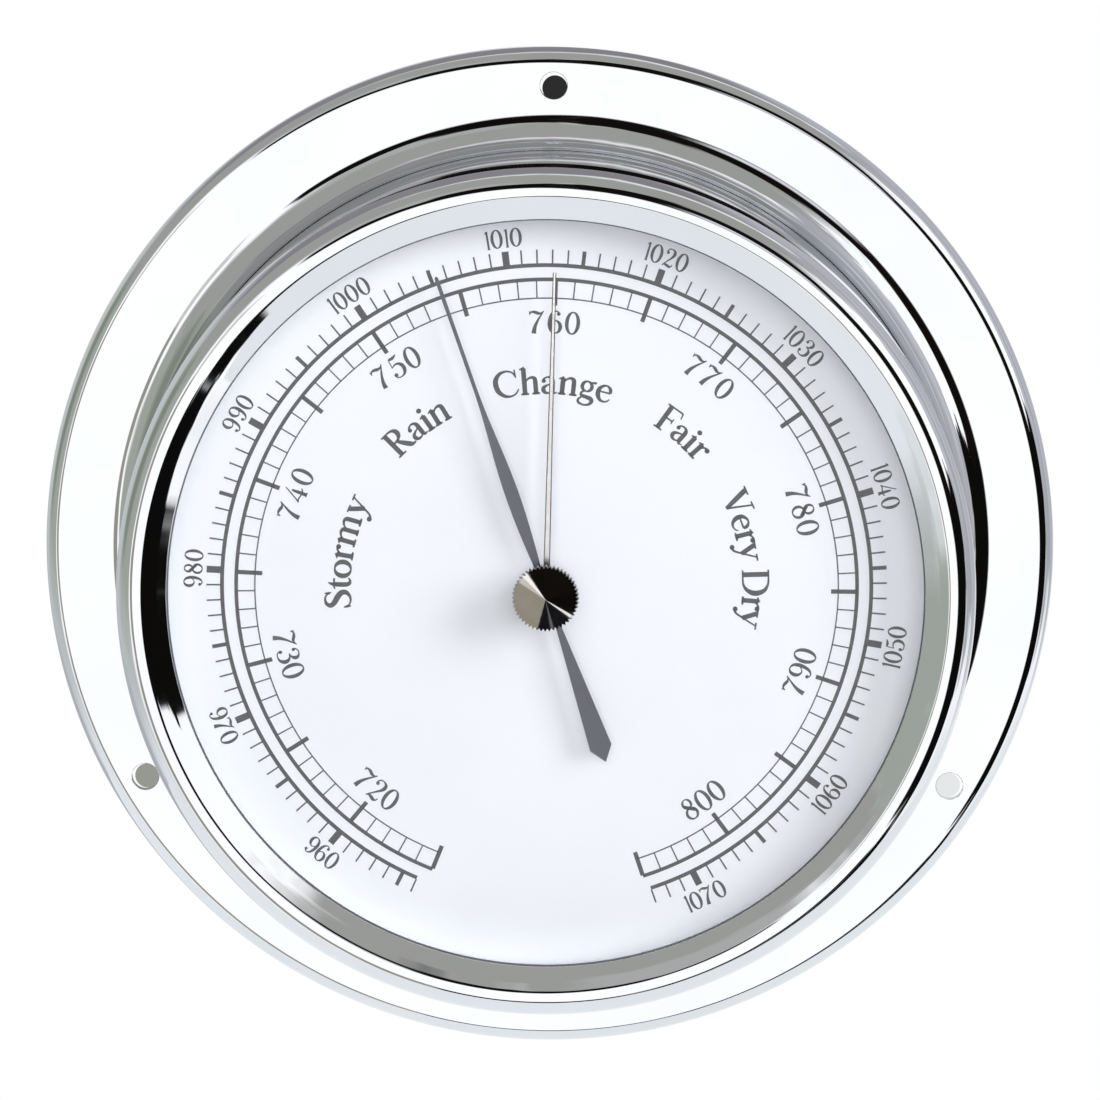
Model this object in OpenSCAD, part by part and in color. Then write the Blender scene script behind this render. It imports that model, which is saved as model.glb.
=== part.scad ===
// Marine barometer with a wall flange, an aneroid movement and a turnable marker hand.
// The pieces are written with the dial facing +z and the wall at z = 0. facing() then turns
// them so that the dial looks along -Y and 12 o'clock points to +Z.

/* [Case] */
// Outside diameter of the wall flange
flange_d = 130; // [126:1:150]
// Height of the flange's front face above the wall
flange_h = 3.4; // [3:0.1:5]
// Radius of the turned-back flange rim
rim_r = 1.9; // [1.5:0.1:2.6]
// Thickness of the case sheet
sheet_t = 1.2; // [0.8:0.1:1.4]
// Outside diameter of the round case body
body_d = 104.8; // [104:0.2:108]
// Radius of the fillet between flange and body
fillet_r = 4.2; // [3:0.1:5]
// Diameter of the screw holes in the flange
hole_d = 3.5; // [3:0.1:4.5]
// Distance from the flange's edge to the centres of its holes
hole_inset = 4.8; // [4.4:0.1:5.2]
// Number of flange holes
hole_count = 3; // [3:1:6]

/* [Bezel] */
// Wall of the bezel skirt
bezel_wall = 0.75; // [0.6:0.05:1.5]
// Length of the skirt behind the case's front edge
bezel_lap = 5; // [3:0.5:8]
// Width of the bezel from the case body's outside to the window
lip_w = 5.5; // [4.9:0.1:7.4]
// Thickness of the bezel lip at the window
lip_t = 0.5; // [0.4:0.1:0.8]
// Width of the polished bevel round the window
bevel_w = 3; // [2:0.1:3.2]
// Height of the crest above the glass
crest_h = 1.9; // [1.4:0.1:2.6]
// Radius of the bezel's outer round-over
bezel_round = 2.4; // [1.5:0.1:2.6]

/* [Glass] */
// Thickness of the glass
glass_t = 1.8; // [1.5:0.1:3]
// Thickness of the rubber ring behind the glass
gasket_t = 0.5; // [0.3:0.1:1]
// Height of the spacer ring between dial and rubber ring
spacer_h = 4.3; // [1.9:0.1:6]
// Radial width of the spacer ring
spacer_w = 2.8; // [2:0.1:3]

/* [Dial] */
// Thickness of the dial plate
dial_t = 1; // [0.6:0.1:1.5]
// Diameter of the dial's centre hole
dial_hole_d = 3; // [2:0.1:3.4]
// Height of the seat ring that carries the dial
seat_h = 3; // [2:0.5:6]
// Radial width of the seat ring
seat_w = 4.2; // [3:0.1:5]

/* [Pointer] */
// Length of the pointer from its axis to the tip
pointer_len = 41.6; // [35:0.1:43]
// Length of the pointer's tail
tail_len = 22.8; // [15:0.2:25]
// Widest part of the pointer's blade
pointer_w = 1.7; // [1:0.1:3]
// Distance from the axis to the widest part of the blade
blade_mid = 12.7; // [10:0.1:16]
// Distance from the axis to the end of the blade, where the needle starts
blade_len = 27; // [20:0.5:32]
// Width of the needle in front of the blade
needle_w = 0.46; // [0.3:0.02:0.8]
// Widest part of the pointer's tail
tail_w = 2.8; // [1.5:0.1:4]
// Length of the point at the end of the tail
tail_point = 1.9; // [1:0.1:3]
// Width of the pointer where it narrows at the hub
waist_w = 0.6; // [0.4:0.05:1]
// Thickness of the pointer
pointer_t = 0.2; // [0.15:0.05:0.3]
// Height of the pointer above the dial
pointer_lift = 2.6; // [0.4:0.1:2.7]
// Reading at rest, in degrees clockwise from the middle of the scale
rest_reading = -20.8; // [-40:0.1:40]
// Turn of the printed scale against the flange holes, clockwise
dial_twist = 1.2; // [0:0.1:3]

/* [Marker hand] */
// Length of the marker hand
marker_len = 40; // [30:0.5:42]
// Width of the marker hand at its hub
marker_w = 0.84; // [0.6:0.02:1.4]
// Width of the marker hand at its tip
marker_tip_w = 0.44; // [0.3:0.02:0.8]
// Thickness of the marker hand
marker_t = 0.25; // [0.2:0.05:0.3]
// Turn of the marker hand at rest, clockwise from the top
marker_rest = 1; // [-20:0.5:20]
// Diameter of the setting knob
knob_d = 8.1; // [7.6:0.1:10]
// Height of the knob's knurled edge
knurl_h = 1.6; // [1.2:0.1:3]
// Height of the knob's coned face
knob_cone_h = 0.7; // [0.4:0.1:3]
// Number of grooves in the knurl
knurl_count = 48; // [24:2:60]
// Depth of the knurl grooves
knurl_depth = 0.16; // [0.1:0.02:0.2]
// Radius of the marker's spindle
spindle_r = 1.2; // [1:0.1:1.4]

/* [Plates] */
// Thickness of the rear cover
cover_t = 1.5; // [1:0.1:2.5]
// Depth of the rear cover's wall
cover_wall_h = 10; // [9:0.5:12]
// Gap between rear cover and movement base
base_gap = 3; // [3:0.1:6]
// Thickness of the movement base
base_t = 1.2; // [1:0.1:2.5]
// Radius of the movement base and the bridge
plate_r = 42; // [41:0.5:45]
// Thickness of the bridge
bridge_t = 1.4; // [1:0.1:2]
// Radius of the circle that the pillars stand on
pillar_circle_r = 36; // [35:0.5:37]
// Radius of the pillars
pillar_r = 2.2; // [1.8:0.1:2.6]
// Radius of the circle of the rear cover's screws
cover_screw_circle_r = 34; // [33:0.5:36]

/* [Capsule] */
// Radius of the aneroid capsule
capsule_r = 24; // [18:0.5:24]
// Height of the capsule without its foot
capsule_h = 4.6; // [4:0.2:7]
// Wall of each capsule diaphragm
diaphragm_t = 0.25; // [0.2:0.05:0.4]
// Distance between two corrugation crests
wave_pitch = 4; // [3:0.5:6]
// Height of the corrugations above and below their middle
wave_h = 0.35; // [0.1:0.05:0.4]
// Height of the capsule's foot on the carrier
capsule_foot_h = 1.5; // [1.5:0.1:3]
// Thickness of the spring carrier under the capsule
carrier_t = 0.8; // [0.5:0.1:1.2]
// Width of the spring carrier
carrier_w = 10; // [8:0.5:14]
// Length of the carrier's foot
carrier_foot = 8; // [7:0.5:10]
// Gap between movement base and carrier
carrier_gap = 0.8; // [0.8:0.1:1.5]
// Length of the push stud on the capsule
stud_h = 1.6; // [1.6:0.1:4]

/* [Rocker] */
// Distance from the capsule's axis to the rocker shaft
capsule_arm_len = 6; // [5:0.5:8]
// Length of the fork arm from the rocker shaft to the sector pin
fork_len = 7; // [6.5:0.1:9]
// Radius of the rocker shaft
rocker_r = 1; // [0.9:0.1:1.4]
// Turn of the rocker over the whole scale
rocker_sweep = 12; // [8:0.5:12]

/* [Gears] */
// Tooth module of sector and pinion
gear_module = 0.4; // [0.36:0.02:0.4]
// Number of pinion leaves
pinion_teeth = 12; // [10:1:12]
// Ratio between pinion and sector
gear_ratio = 12; // [11:1:12]
// Thickness of the sector
sector_t = 0.8; // [0.6:0.1:1.2]
// Length of the scale in degrees of pointer turn
scale_sweep = 320; // [300:1:330]
// Number of turns of the hairspring
hair_turns = 5; // [3:1:6]
// Outer radius of the hairspring
hair_r = 6; // [5:0.1:8]
// Thickness of the hairspring strip
hair_t = 0.16; // [0.12:0.02:0.2]

/* [Hidden] */
$fn = 96;

// Clearances: seated pieces, running bearings, screws in threads, and faces that must not rub
seat_gap = 0.02;
run_gap = 0.05;
end_gap = 0.05;
eps = 0.01;

// Case radii
flange_r = flange_d / 2;
body_r = body_d / 2;
bore_r = body_r - sheet_t;
rim_centre_r = flange_r - rim_r;
rim_centre_z = flange_h - rim_r;
fillet_centre_r = body_r + fillet_r;
fillet_centre_z = flange_h + fillet_r;
inner_fit_r = bore_r - 0.4;

// Heights above the wall, from the rear cover to the crest
base_z = cover_t + base_gap;
base_top = base_z + base_t;
carrier_z = base_top + carrier_gap;
carrier_top = carrier_z + carrier_t;
capsule_z = carrier_top + capsule_foot_h;
capsule_top = capsule_z + capsule_h;
arm_half = 0.6;
stud_top = capsule_top + stud_h;
rocker_z = stud_top + end_gap + arm_half;
bridge_z = rocker_z + 4;
bridge_top = bridge_z + bridge_t;
pin_z = rocker_z + fork_len;
sector_z = max(pin_z + 1, bridge_top + 2.5);
sector_top = sector_z + sector_t;
cock_z = sector_top + 1.2;
cock_t = 1.2;
cock_head_t = 0.8;
cock_top = cock_z + cock_t;
dial_z = cock_top + cock_head_t + 0.2;
dial_top = dial_z + dial_t;
spacer_top = dial_top + spacer_h;
gasket_top = spacer_top + gasket_t;
glass_top = gasket_top + glass_t;
crest_z = glass_top + crest_h;

// Bezel radii
window_r = body_r - lip_w;
bezel_seat_r = body_r + run_gap;
bezel_r = bezel_seat_r + bezel_wall;
crest_inner_r = window_r + bevel_w;
crest_outer_r = bezel_r - bezel_round;

// Gear train: the sector turns on sector_x, level with the rocker shaft
pinion_pitch_r = gear_module * pinion_teeth / 2;
sector_pitch_r = pinion_pitch_r * gear_ratio;
sector_teeth = pinion_teeth * gear_ratio;
centre_dist = pinion_pitch_r + sector_pitch_r;
rocker_y = capsule_arm_len;
sector_x = sqrt(pow(centre_dist, 2) - pow(rocker_y, 2));
train_turn = atan2(rocker_y, sector_x);
sector_sweep = scale_sweep / gear_ratio;
rocker_per_pointer = rocker_sweep / scale_sweep;
sector_rest = rest_reading / gear_ratio;
rocker_rest = rest_reading * rocker_per_pointer;
stud_rest = -capsule_arm_len * rocker_rest * PI / 180;
pin_arm = fork_len * rocker_sweep / sector_sweep;
pin_r = 0.5;
arbor_r = 0.6;
pivot_r = 0.4;
sector_arbor_r = 1.2;
sector_pivot_r = 0.5;
pointer_z = dial_top + pointer_lift;
collet_r = 1.4;
collet_neck_r = arbor_r + 0.3;
blade_root = 2;
blade_steps = 10;
waist_y = 4;
arbor_top = pointer_z + pointer_t + 0.2;
fork_x = sector_x - pin_arm;
fork_t = 0.8;
fork_w = 3;

// Tooth flanks, as [half width in degrees, radius] pairs from root to tip
pinion_step = 360 / pinion_teeth;
sector_step = 360 / sector_teeth;
pinion_flank = [[pinion_step * 0.19, pinion_pitch_r - 1.25 * gear_module],
    [pinion_step * 0.19, pinion_pitch_r], [pinion_step * 0.1, pinion_pitch_r + 0.6 * gear_module]];
sector_flank = [[sector_step * 0.24, sector_pitch_r - 1.1 * gear_module],
    [sector_step * 0.2, sector_pitch_r], [sector_step * 0.09, sector_pitch_r + 0.75 * gear_module]];
sector_rim_w = 3;
sector_arm_w = 2;
sector_tooth_count = 2 * ceil((sector_sweep / 2 + 3) / sector_step) + 1;

// Hairspring, between the bridge and the pinion
hair_z = bridge_top + 0.7;
hair_h = 0.6;
hair_inner_r = 1.5;
hair_angle = 270;
hair_stud_w = 1.6;
hair_stud_l = 2;

// Round windows in the bridge
window_hole_r = 8;
window_circle_r = 22.26;
window_angles = [30, 150, 210, 330];

// Rocker bearings stand clear of the capsule
bracket_t = 1.6;
bracket_w = 6;
bracket_foot = 6;
bracket_left_x = -capsule_r - 1 - bracket_t;
bracket_right_x = fork_x + fork_t / 2 + 1.6;
bracket_foot_t = 1.5;
bracket_top = rocker_z + 2;
bracket_left_hole = bracket_left_x - bracket_foot / 2;
bracket_right_hole = bracket_right_x + bracket_t + bracket_foot / 2;
fork_slot = pin_r + 0.14;
fork_over = 0.5;
boss_r = rocker_r + 1;
boss_half = 1.2;
rocker_pivot_r = 0.6;

// Cock pillars stand on the line from the pointer axis through the sector pivot
cock_pillar_r = 2;
cock_near = -(hair_r + hair_t + cock_pillar_r + 1);
cock_far = centre_dist + 7;
cock_w = 8;

// Setting knob, bush and marker hand, from the glass outwards and inwards
bush_r = 2.2;
bush_flange_r = 3;
bush_nut_r = 3.2;
bush_flange_t = 0.4;
nut_t = 0.6;
washer_t = 0.25;
bush_back_z = gasket_top - nut_t - end_gap;
washer_z = glass_top + bush_flange_t;
knob_z = glass_top + 0.3;
knob_recess_z = washer_z + washer_t + end_gap;
knob_rim_z = knob_z + knurl_h;
knob_top = knob_rim_z + knob_cone_h;
marker_top = bush_back_z - end_gap;
marker_z = marker_top - marker_t;
hub_r = 1.7;
spindle_z = marker_z - 0.12;
spindle_step = 0.4;

// Screws
screw_r = 1;
screw_head_r = 2;
screw_head_t = 1.1;
slot_w = 0.5;
thread_len = 3.5;
tap_depth = thread_len + 0.5;
cover_screw_r = 1.2;
cover_head_r = 2.4;
cover_head_t = 1.2;
spacer_r = 2.5;
carrier_half = capsule_r - 3;
adjust_x = carrier_half - carrier_w * 0.4;
carrier_screw_x = -carrier_half + carrier_foot / 2;
carrier_screw_y = carrier_w / 4;
capsule_foot_r = 4;
post_r = 1.5;
post_nut_r = 3.4;
post_nut_h = 1.8;
stud_r = 0.9;
stud_foot_r = 3;
stud_foot_h = 0.5;

// Diaphragms: corrugated between the foot and a flat soldered rim; capsule_face is their outer middle
diaphragm_steps = 36;
diaphragm_rim_h = 0.6;
rim_w = 2.5;
corrugated_r = capsule_r - rim_w;
capsule_mid = (capsule_z + capsule_top) / 2;
capsule_face = wave(capsule_foot_r) + diaphragm_t;
diaphragm_z = capsule_mid + capsule_face;

// Adjusting screw, vent, and the circles of pillars and screws
adjust_r = 1.4;
adjust_head_r = 2.3;
adjust_head_z = 0.4;
adjust_hole_r = adjust_head_r + 0.2;
vent_r = 1;
vent_y = 20;
pillar_angles = [60, 180, 300];
cover_screw_angles = [0, 120, 240];

module facing() { rotate([90, 0, 0]) children(); }

module at_rest_of_pointer() { rotate(-rest_reading - dial_twist) children(); }

module around(radius, angles) {
    for (a = angles) rotate(a) translate([radius, 0, 0]) children();
}

module tube(outer_r, inner_r, z0, z1) {
    translate([0, 0, z0]) linear_extrude(z1 - z0) difference() {
        circle(outer_r);
        circle(inner_r);
    }
}

module rod(r, z0, z1) { translate([0, 0, z0]) cylinder(r = r, h = z1 - z0); }

// Screw with a slotted cylinder head whose underside is at z0 and whose shank points to -z
module slotted_screw(shank_r, shank_len, head_r, head_t) {
    rod(shank_r, -shank_len, 0);
    difference() {
        rod(head_r, 0, head_t);
        translate([-head_r - eps, -slot_w / 2, head_t * 0.5])
            cube([2 * head_r + 2 * eps, slot_w, head_t]);
    }
}

// Half section of the case, drawn in by inset all round
module case_section(inset) {
    square([body_r - inset, glass_top]);
    square([rim_centre_r, flange_h - inset]);
    square([rim_centre_r + rim_r - inset, rim_centre_z]);
    translate([rim_centre_r, rim_centre_z]) circle(rim_r - inset);
    difference() {
        square([fillet_centre_r, fillet_centre_z]);
        translate([fillet_centre_r, fillet_centre_z]) circle(fillet_r + inset);
    }
}

module case_shell() facing() color("silver") difference() {
    rotate_extrude() difference() {
        intersection() {
            case_section(0);
            square([flange_r, glass_top]);
        }
        translate([-eps, -eps]) {
            case_section(sheet_t);
            square([bore_r + eps, glass_top + 2 * eps]);
        }
    }
    for (i = [0 : hole_count - 1])
        rotate(90 + i * 360 / hole_count) translate([flange_r - hole_inset, 0, 0])
            rod(hole_d / 2, -1, flange_h + 1);
}

module bezel_ring() facing() color("silver") rotate_extrude() difference() {
    polygon([[window_r, glass_top], [window_r, glass_top + lip_t], [crest_inner_r, crest_z],
        [bezel_r, crest_z], [bezel_r, glass_top - bezel_lap], [bezel_seat_r, glass_top - bezel_lap],
        [bezel_seat_r, glass_top]]);
    difference() {
        translate([crest_outer_r, crest_z - bezel_round]) square([bezel_round + 1, bezel_round + 1]);
        translate([crest_outer_r, crest_z - bezel_round]) circle(bezel_round);
    }
}

module glass_pane() facing() color("azure", 0.3)
    tube(bore_r - 0.6, bush_r + run_gap, gasket_top, glass_top);

module glass_gasket() facing() color("black")
    tube(bore_r - 0.6, bore_r - 0.4 - spacer_w, spacer_top, gasket_top);

module dial_spacer_ring() facing() color("whitesmoke")
    tube(inner_fit_r, inner_fit_r - spacer_w, dial_top, spacer_top);

module dial_plate() facing() color("white") tube(inner_fit_r, dial_hole_d / 2, dial_z, dial_top);

module dial_seat_ring() facing() color("gold")
    tube(bore_r - seat_gap, bore_r - seat_w, dial_z - seat_h, dial_z);

// A shallow cup whose wall plugs into the case body; one hole vents it, one reaches the adjuster
module rear_cover() facing() color("dimgray") difference() {
    rod(bore_r - 0.1, 0, cover_wall_h);
    rod(bore_r - 0.1 - cover_t, cover_t, cover_wall_h + 1);
    around(cover_screw_circle_r, cover_screw_angles) {
        rod(cover_screw_r + seat_gap, -eps, cover_t + 1);
        cylinder(r1 = cover_head_r, r2 = cover_screw_r, h = cover_head_t);
    }
    translate([adjust_x, 0, 0]) rod(adjust_hole_r, -1, cover_t + 1);
    translate([0, vent_y, 0]) rod(vent_r, -1, cover_t + 1);
}

module rear_cover_screws() facing() color("gray") around(cover_screw_circle_r, cover_screw_angles)
    difference() {
        union() {
            rod(cover_screw_r, 0, base_z - 0.5);
            translate([0, 0, seat_gap])
                cylinder(r1 = cover_head_r - 2 * seat_gap, r2 = cover_screw_r,
                    h = cover_head_t - 2 * seat_gap);
        }
        translate([-cover_head_r, -0.3, -eps]) cube([2 * cover_head_r, 0.6, 0.5]);
    }

module cover_spacers() facing() color("gold") around(cover_screw_circle_r, cover_screw_angles)
    difference() {
        union() {
            rod(spacer_r, cover_t, base_z);
            rod(cover_screw_r + 0.5, base_z - eps, base_top);
        }
        rod(cover_screw_r + seat_gap, cover_t - 1, base_z - 0.4);
    }

module glass_bush() facing() color("silver") {
    tube(bush_flange_r, spindle_r + run_gap, glass_top, washer_z);
    tube(bush_r, spindle_r + run_gap, bush_back_z, glass_top + eps);
}

module bush_nut() facing() color("silver")
    tube(bush_nut_r, bush_r + seat_gap, gasket_top - nut_t, gasket_top);

module spring_washer() facing() color("gold")
    tube(bush_flange_r - 0.6, spindle_r + 0.3, washer_z, washer_z + washer_t);

// The coned face is turned, the edge is knurled, and the recess behind covers the bush
module set_knob() facing() rotate(-marker_rest) color("silver") difference() {
    union() {
        rod(knob_d / 2, knob_z, knob_rim_z);
        translate([0, 0, knob_rim_z - eps]) cylinder(r1 = knob_d / 2 - 0.15, r2 = 0.12, h = knob_cone_h);
    }
    rod(bush_flange_r + 0.2, knob_z - 1, knob_recess_z);
    rod(spindle_r + seat_gap, knob_z, knob_rim_z);
    for (i = [0 : knurl_count - 1])
        rotate(i * 360 / knurl_count) translate([knob_d / 2 + knurl_depth, 0, knob_z - eps])
            rotate(45) translate([-knurl_depth * 1.4, -knurl_depth * 1.4, 0])
                cube([knurl_depth * 2.8, knurl_depth * 2.8, knurl_h - 0.25]);
}

module set_spindle() facing() color("silver") {
    rod(spindle_r, marker_top, knob_rim_z - eps);
    rod(spindle_r - spindle_step, spindle_z, marker_top + eps);
}

// Closed outline that mirrors a right-hand edge about the y axis
function mirrored(edge) = concat(edge, [for (i = [len(edge) - 1 : -1 : 0]) [-edge[i][0], edge[i][1]]]);

module marker_hand() facing() rotate(-marker_rest) color("silver")
    translate([0, 0, marker_z]) difference() {
        union() {
            cylinder(r = hub_r, h = marker_t);
            linear_extrude(marker_t)
                polygon(mirrored([[marker_w / 2, hub_r / 2], [marker_tip_w / 2, marker_len]]));
        }
        rod(spindle_r - spindle_step + seat_gap, -1, 1);
    }

// Share of the swell, from 0 at the hub to 1 at the widest part and back to 0 at the needle
function swell(y) = y < blade_mid
    ? sin(90 * (y - blade_root) / (blade_mid - blade_root))
    : (1 + cos(180 * (y - blade_mid) / (blade_len - blade_mid))) / 2;
// Half width of the blade at distance y
function blade_half(y) = let (end_w = y < blade_mid ? waist_w : needle_w)
    (end_w + (pointer_w - end_w) * swell(y)) / 2;
blade_ys = concat(
    [for (i = [0 : blade_steps]) blade_root + (blade_mid - blade_root) * i / blade_steps],
    [for (i = [1 : blade_steps]) blade_mid + (blade_len - blade_mid) * i / blade_steps]);

// The blade ends in a needle, and the tail widens from its waist to a point
module pointer() facing() at_rest_of_pointer() color("dimgray")
    translate([0, 0, pointer_z]) difference() {
        union() {
            cylinder(r = hub_r, h = pointer_t);
            linear_extrude(pointer_t) polygon(mirrored(concat([[waist_w / 2, hub_r * 0.7]],
                [for (y = blade_ys) [blade_half(y), y]],
                [[needle_w / 2, pointer_len - needle_w / 2], [needle_w / 8, pointer_len]])));
            linear_extrude(pointer_t) polygon([[-waist_w / 2, -hub_r * 0.7], [waist_w / 2, -hub_r * 0.7],
                [waist_w / 2, -waist_y], [tail_w / 2, -tail_len + tail_point], [0, -tail_len],
                [-tail_w / 2, -tail_len + tail_point], [-waist_w / 2, -waist_y]]);
        }
        rod(collet_neck_r + seat_gap, -1, 1);
    }

module pointer_collet() facing() color("gold") {
    tube(collet_r, arbor_r + seat_gap, pointer_z - 0.3, pointer_z);
    tube(collet_neck_r, arbor_r + seat_gap, pointer_z - eps, pointer_z + pointer_t + 0.1);
}

module pointer_arbor() facing() color("gray") {
    rod(arbor_r, bridge_top + end_gap, arbor_top);
    rod(pivot_r, bridge_z, bridge_top + end_gap + eps);
}

// Outline of one tooth centred on angle a
function tooth(a, flank) = concat(
    [for (p = flank) p[1] * [cos(a - p[0]), sin(a - p[0])]],
    [for (i = [len(flank) - 1 : -1 : 0]) flank[i][1] * [cos(a + flank[i][0]), sin(a + flank[i][0])]]);

module pinion() facing() rotate(-rest_reading) color("gray")
    translate([0, 0, sector_z - 0.4]) linear_extrude(sector_t + 0.8) difference() {
        rotate(train_turn + pinion_step / 2)
            polygon([for (i = [0 : pinion_teeth - 1]) each tooth(i * pinion_step, pinion_flank)]);
        circle(arbor_r + seat_gap);
    }

// Drawn round its own pivot, teeth towards -x, then turned to its place in the train
module sector_plane() {
    half = (sector_tooth_count - 1) / 2;
    root_r = sector_flank[0][1];
    wedge_half = half * sector_step + 0.7;
    polygon(concat([for (i = [-half : half]) each tooth(180 + i * sector_step, sector_flank)],
        [(root_r - sector_rim_w) * [cos(180 + wedge_half), sin(180 + wedge_half)],
         (root_r - sector_rim_w - 0.4) * [-1, 0],
         (root_r - sector_rim_w) * [cos(180 - wedge_half), sin(180 - wedge_half)]]));
    circle(pin_arm + pin_r + 0.9);
    for (s = [-1, 1]) rotate(180 + s * (wedge_half - 3.4)) translate([0, -sector_arm_w / 2])
        square([root_r - sector_rim_w + 0.5, sector_arm_w]);
}

module sector_gear() facing() translate([sector_x, rocker_y, sector_z]) rotate(sector_rest)
    color("gold") linear_extrude(sector_t) difference() {
        rotate(train_turn) sector_plane();
        circle(sector_arbor_r + seat_gap);
        translate([-pin_arm, 0]) circle(pin_r + seat_gap);
    }

module sector_pin() facing() translate([sector_x, rocker_y, 0]) rotate(sector_rest)
    translate([-pin_arm, 0, 0]) color("gray") rod(pin_r, pin_z - 0.6, sector_top);

module sector_arbor() facing() translate([sector_x, rocker_y, 0]) color("gray") {
    rod(sector_arbor_r, bridge_top + end_gap, cock_z - end_gap);
    rod(sector_pivot_r, bridge_z, bridge_top + end_gap + eps);
    rod(sector_pivot_r, cock_z - end_gap - eps, cock_top);
}

// Flat spiral strip from the collet to the stud, height hair_h
function hair_point(turn, offset) =
    let (r = hair_inner_r + hair_t / 2 + (hair_r - hair_inner_r) * turn / hair_turns + offset)
    r * [cos(hair_angle + 360 * turn), sin(hair_angle + 360 * turn)];
module hairspring() facing() color("steelblue") translate([0, 0, hair_z]) linear_extrude(hair_h)
    polygon(concat([for (i = [0 : hair_turns * 24]) hair_point(i / 24, hair_t / 2)],
        [for (i = [hair_turns * 24 : -1 : 0]) hair_point(i / 24, -hair_t / 2)]));

module hairspring_collet() facing() color("gold") difference() {
    rod(hair_inner_r - seat_gap, hair_z - 0.1, hair_z + hair_h + 0.1);
    rod(arbor_r + seat_gap, hair_z - 1, hair_z + hair_h + 1);
}

module hairspring_stud() facing() color("gold") rotate(hair_angle)
    translate([hair_r + hair_t + seat_gap, -hair_stud_l / 2, bridge_top])
        cube([hair_stud_w, hair_stud_l, hair_z + hair_h + 0.2 - bridge_top]);

module cock_places() {
    rotate(train_turn) for (x = [cock_near, cock_far]) translate([x, 0, 0]) children();
}

module top_cock() facing() color("gold") difference() {
    union() {
        cock_places() rod(cock_w / 2, cock_z, cock_top);
        rotate(train_turn) translate([cock_near, -cock_w / 2, cock_z])
            cube([cock_far - cock_near, cock_w, cock_t]);
    }
    rod(arbor_r + run_gap, cock_z - 1, cock_top + 1);
    translate([sector_x, rocker_y, 0]) rod(sector_pivot_r + run_gap, cock_z - 1, cock_top + 1);
    cock_places() rod(screw_r + seat_gap, cock_z - 1, cock_top + 1);
}

module cock_pillars() facing() color("gold") cock_places() difference() {
    rod(cock_pillar_r, bridge_top, cock_z);
    rod(screw_r + seat_gap, cock_z - tap_depth, cock_z + 1);
}

module cock_screws() facing() color("gray") cock_places() translate([0, 0, cock_top])
    slotted_screw(screw_r, cock_t + thread_len, screw_head_r, cock_head_t);

module bridge_plate() facing() color("gold") translate([0, 0, bridge_z]) linear_extrude(bridge_t)
    difference() {
        circle(plate_r);
        circle(pivot_r + run_gap);
        translate([sector_x, rocker_y]) circle(sector_pivot_r + run_gap);
        translate([fork_x - fork_t / 2 - 0.6, rocker_y - 3]) square([fork_t + 1.2, 6]);
        rotate(train_turn) around(window_circle_r, window_angles) circle(window_hole_r);
        around(pillar_circle_r, pillar_angles) circle(screw_r + seat_gap);
    }

// Threaded studs under these pillars pass through the bridge into the lower pillars
module dial_pillars() facing() color("gold") around(pillar_circle_r, pillar_angles) {
    rod(pillar_r, bridge_top, dial_z);
    rod(screw_r, bridge_z - thread_len, bridge_top + eps);
}

module movement_pillars() facing() color("gold") around(pillar_circle_r, pillar_angles)
    difference() {
        rod(pillar_r, base_top, bridge_z);
        rod(screw_r + seat_gap, bridge_z - tap_depth, bridge_z + 1);
        rod(screw_r + seat_gap, base_top - 1, base_top + tap_depth);
    }

module movement_base() facing() color("gold") difference() {
    rod(plate_r, base_z, base_top);
    rod(capsule_foot_r + 2, base_z - 1, base_top + 1);
    around(pillar_circle_r, pillar_angles) rod(screw_r + seat_gap, base_z - 1, base_top + 1);
    around(cover_screw_circle_r, cover_screw_angles)
        rod(cover_screw_r + 0.5 + seat_gap, base_z - 1, base_top + 1);
    translate([adjust_x, 0, 0]) rod(adjust_r + run_gap, base_z - 1, base_top + 1);
    for (y = [-carrier_screw_y, carrier_screw_y]) translate([carrier_screw_x, y, 0])
        rod(screw_r + seat_gap, base_z - 1, base_top + 1);
    bracket_holes(screw_r + seat_gap, base_z - 1, base_top + 1);
}

module base_screws() facing() color("gray") around(pillar_circle_r, pillar_angles)
    translate([0, 0, base_z]) mirror([0, 0, 1])
        slotted_screw(screw_r, base_t + thread_len, screw_head_r, screw_head_t);

// Spring strip: its foot is screwed to the base and the adjusting screw bears on its free end
module capsule_carrier() facing() color("darkkhaki") difference() {
    union() {
        translate([-carrier_half, -carrier_w / 2, carrier_z])
            cube([2 * carrier_half, carrier_w, carrier_t]);
        translate([-carrier_half, -carrier_w / 2, base_top])
            cube([carrier_foot, carrier_w, carrier_gap + eps]);
    }
    rod(post_r + seat_gap, base_top, carrier_top + 1);
    for (y = [-carrier_screw_y, carrier_screw_y]) translate([carrier_screw_x, y, 0])
        rod(screw_r + seat_gap, base_top - 1, carrier_top + 1);
}

module carrier_screws() facing() color("gray") for (y = [-carrier_screw_y, carrier_screw_y])
    translate([carrier_screw_x, y, carrier_top])
        slotted_screw(screw_r, carrier_t + carrier_gap + base_t, screw_head_r - 0.1, screw_head_t);

// Height of a corrugated diaphragm over its rim at radius r
function wave(r) = capsule_h / 2 - diaphragm_rim_h - wave_h
    + wave_h * cos(360 * (r - capsule_foot_r) / wave_pitch);
function diaphragm_line(lift) = concat(
    [[0, wave(capsule_foot_r) + lift]],
    [for (i = [0 : diaphragm_steps]) let (r = capsule_foot_r
        + (corrugated_r - capsule_foot_r) * i / diaphragm_steps) [r, wave(r) + lift]],
    [[corrugated_r + 1.1, lift + seat_gap], [capsule_r, lift + seat_gap]]);
function reversed(points) = [for (i = [len(points) - 1 : -1 : 0]) points[i]];

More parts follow.
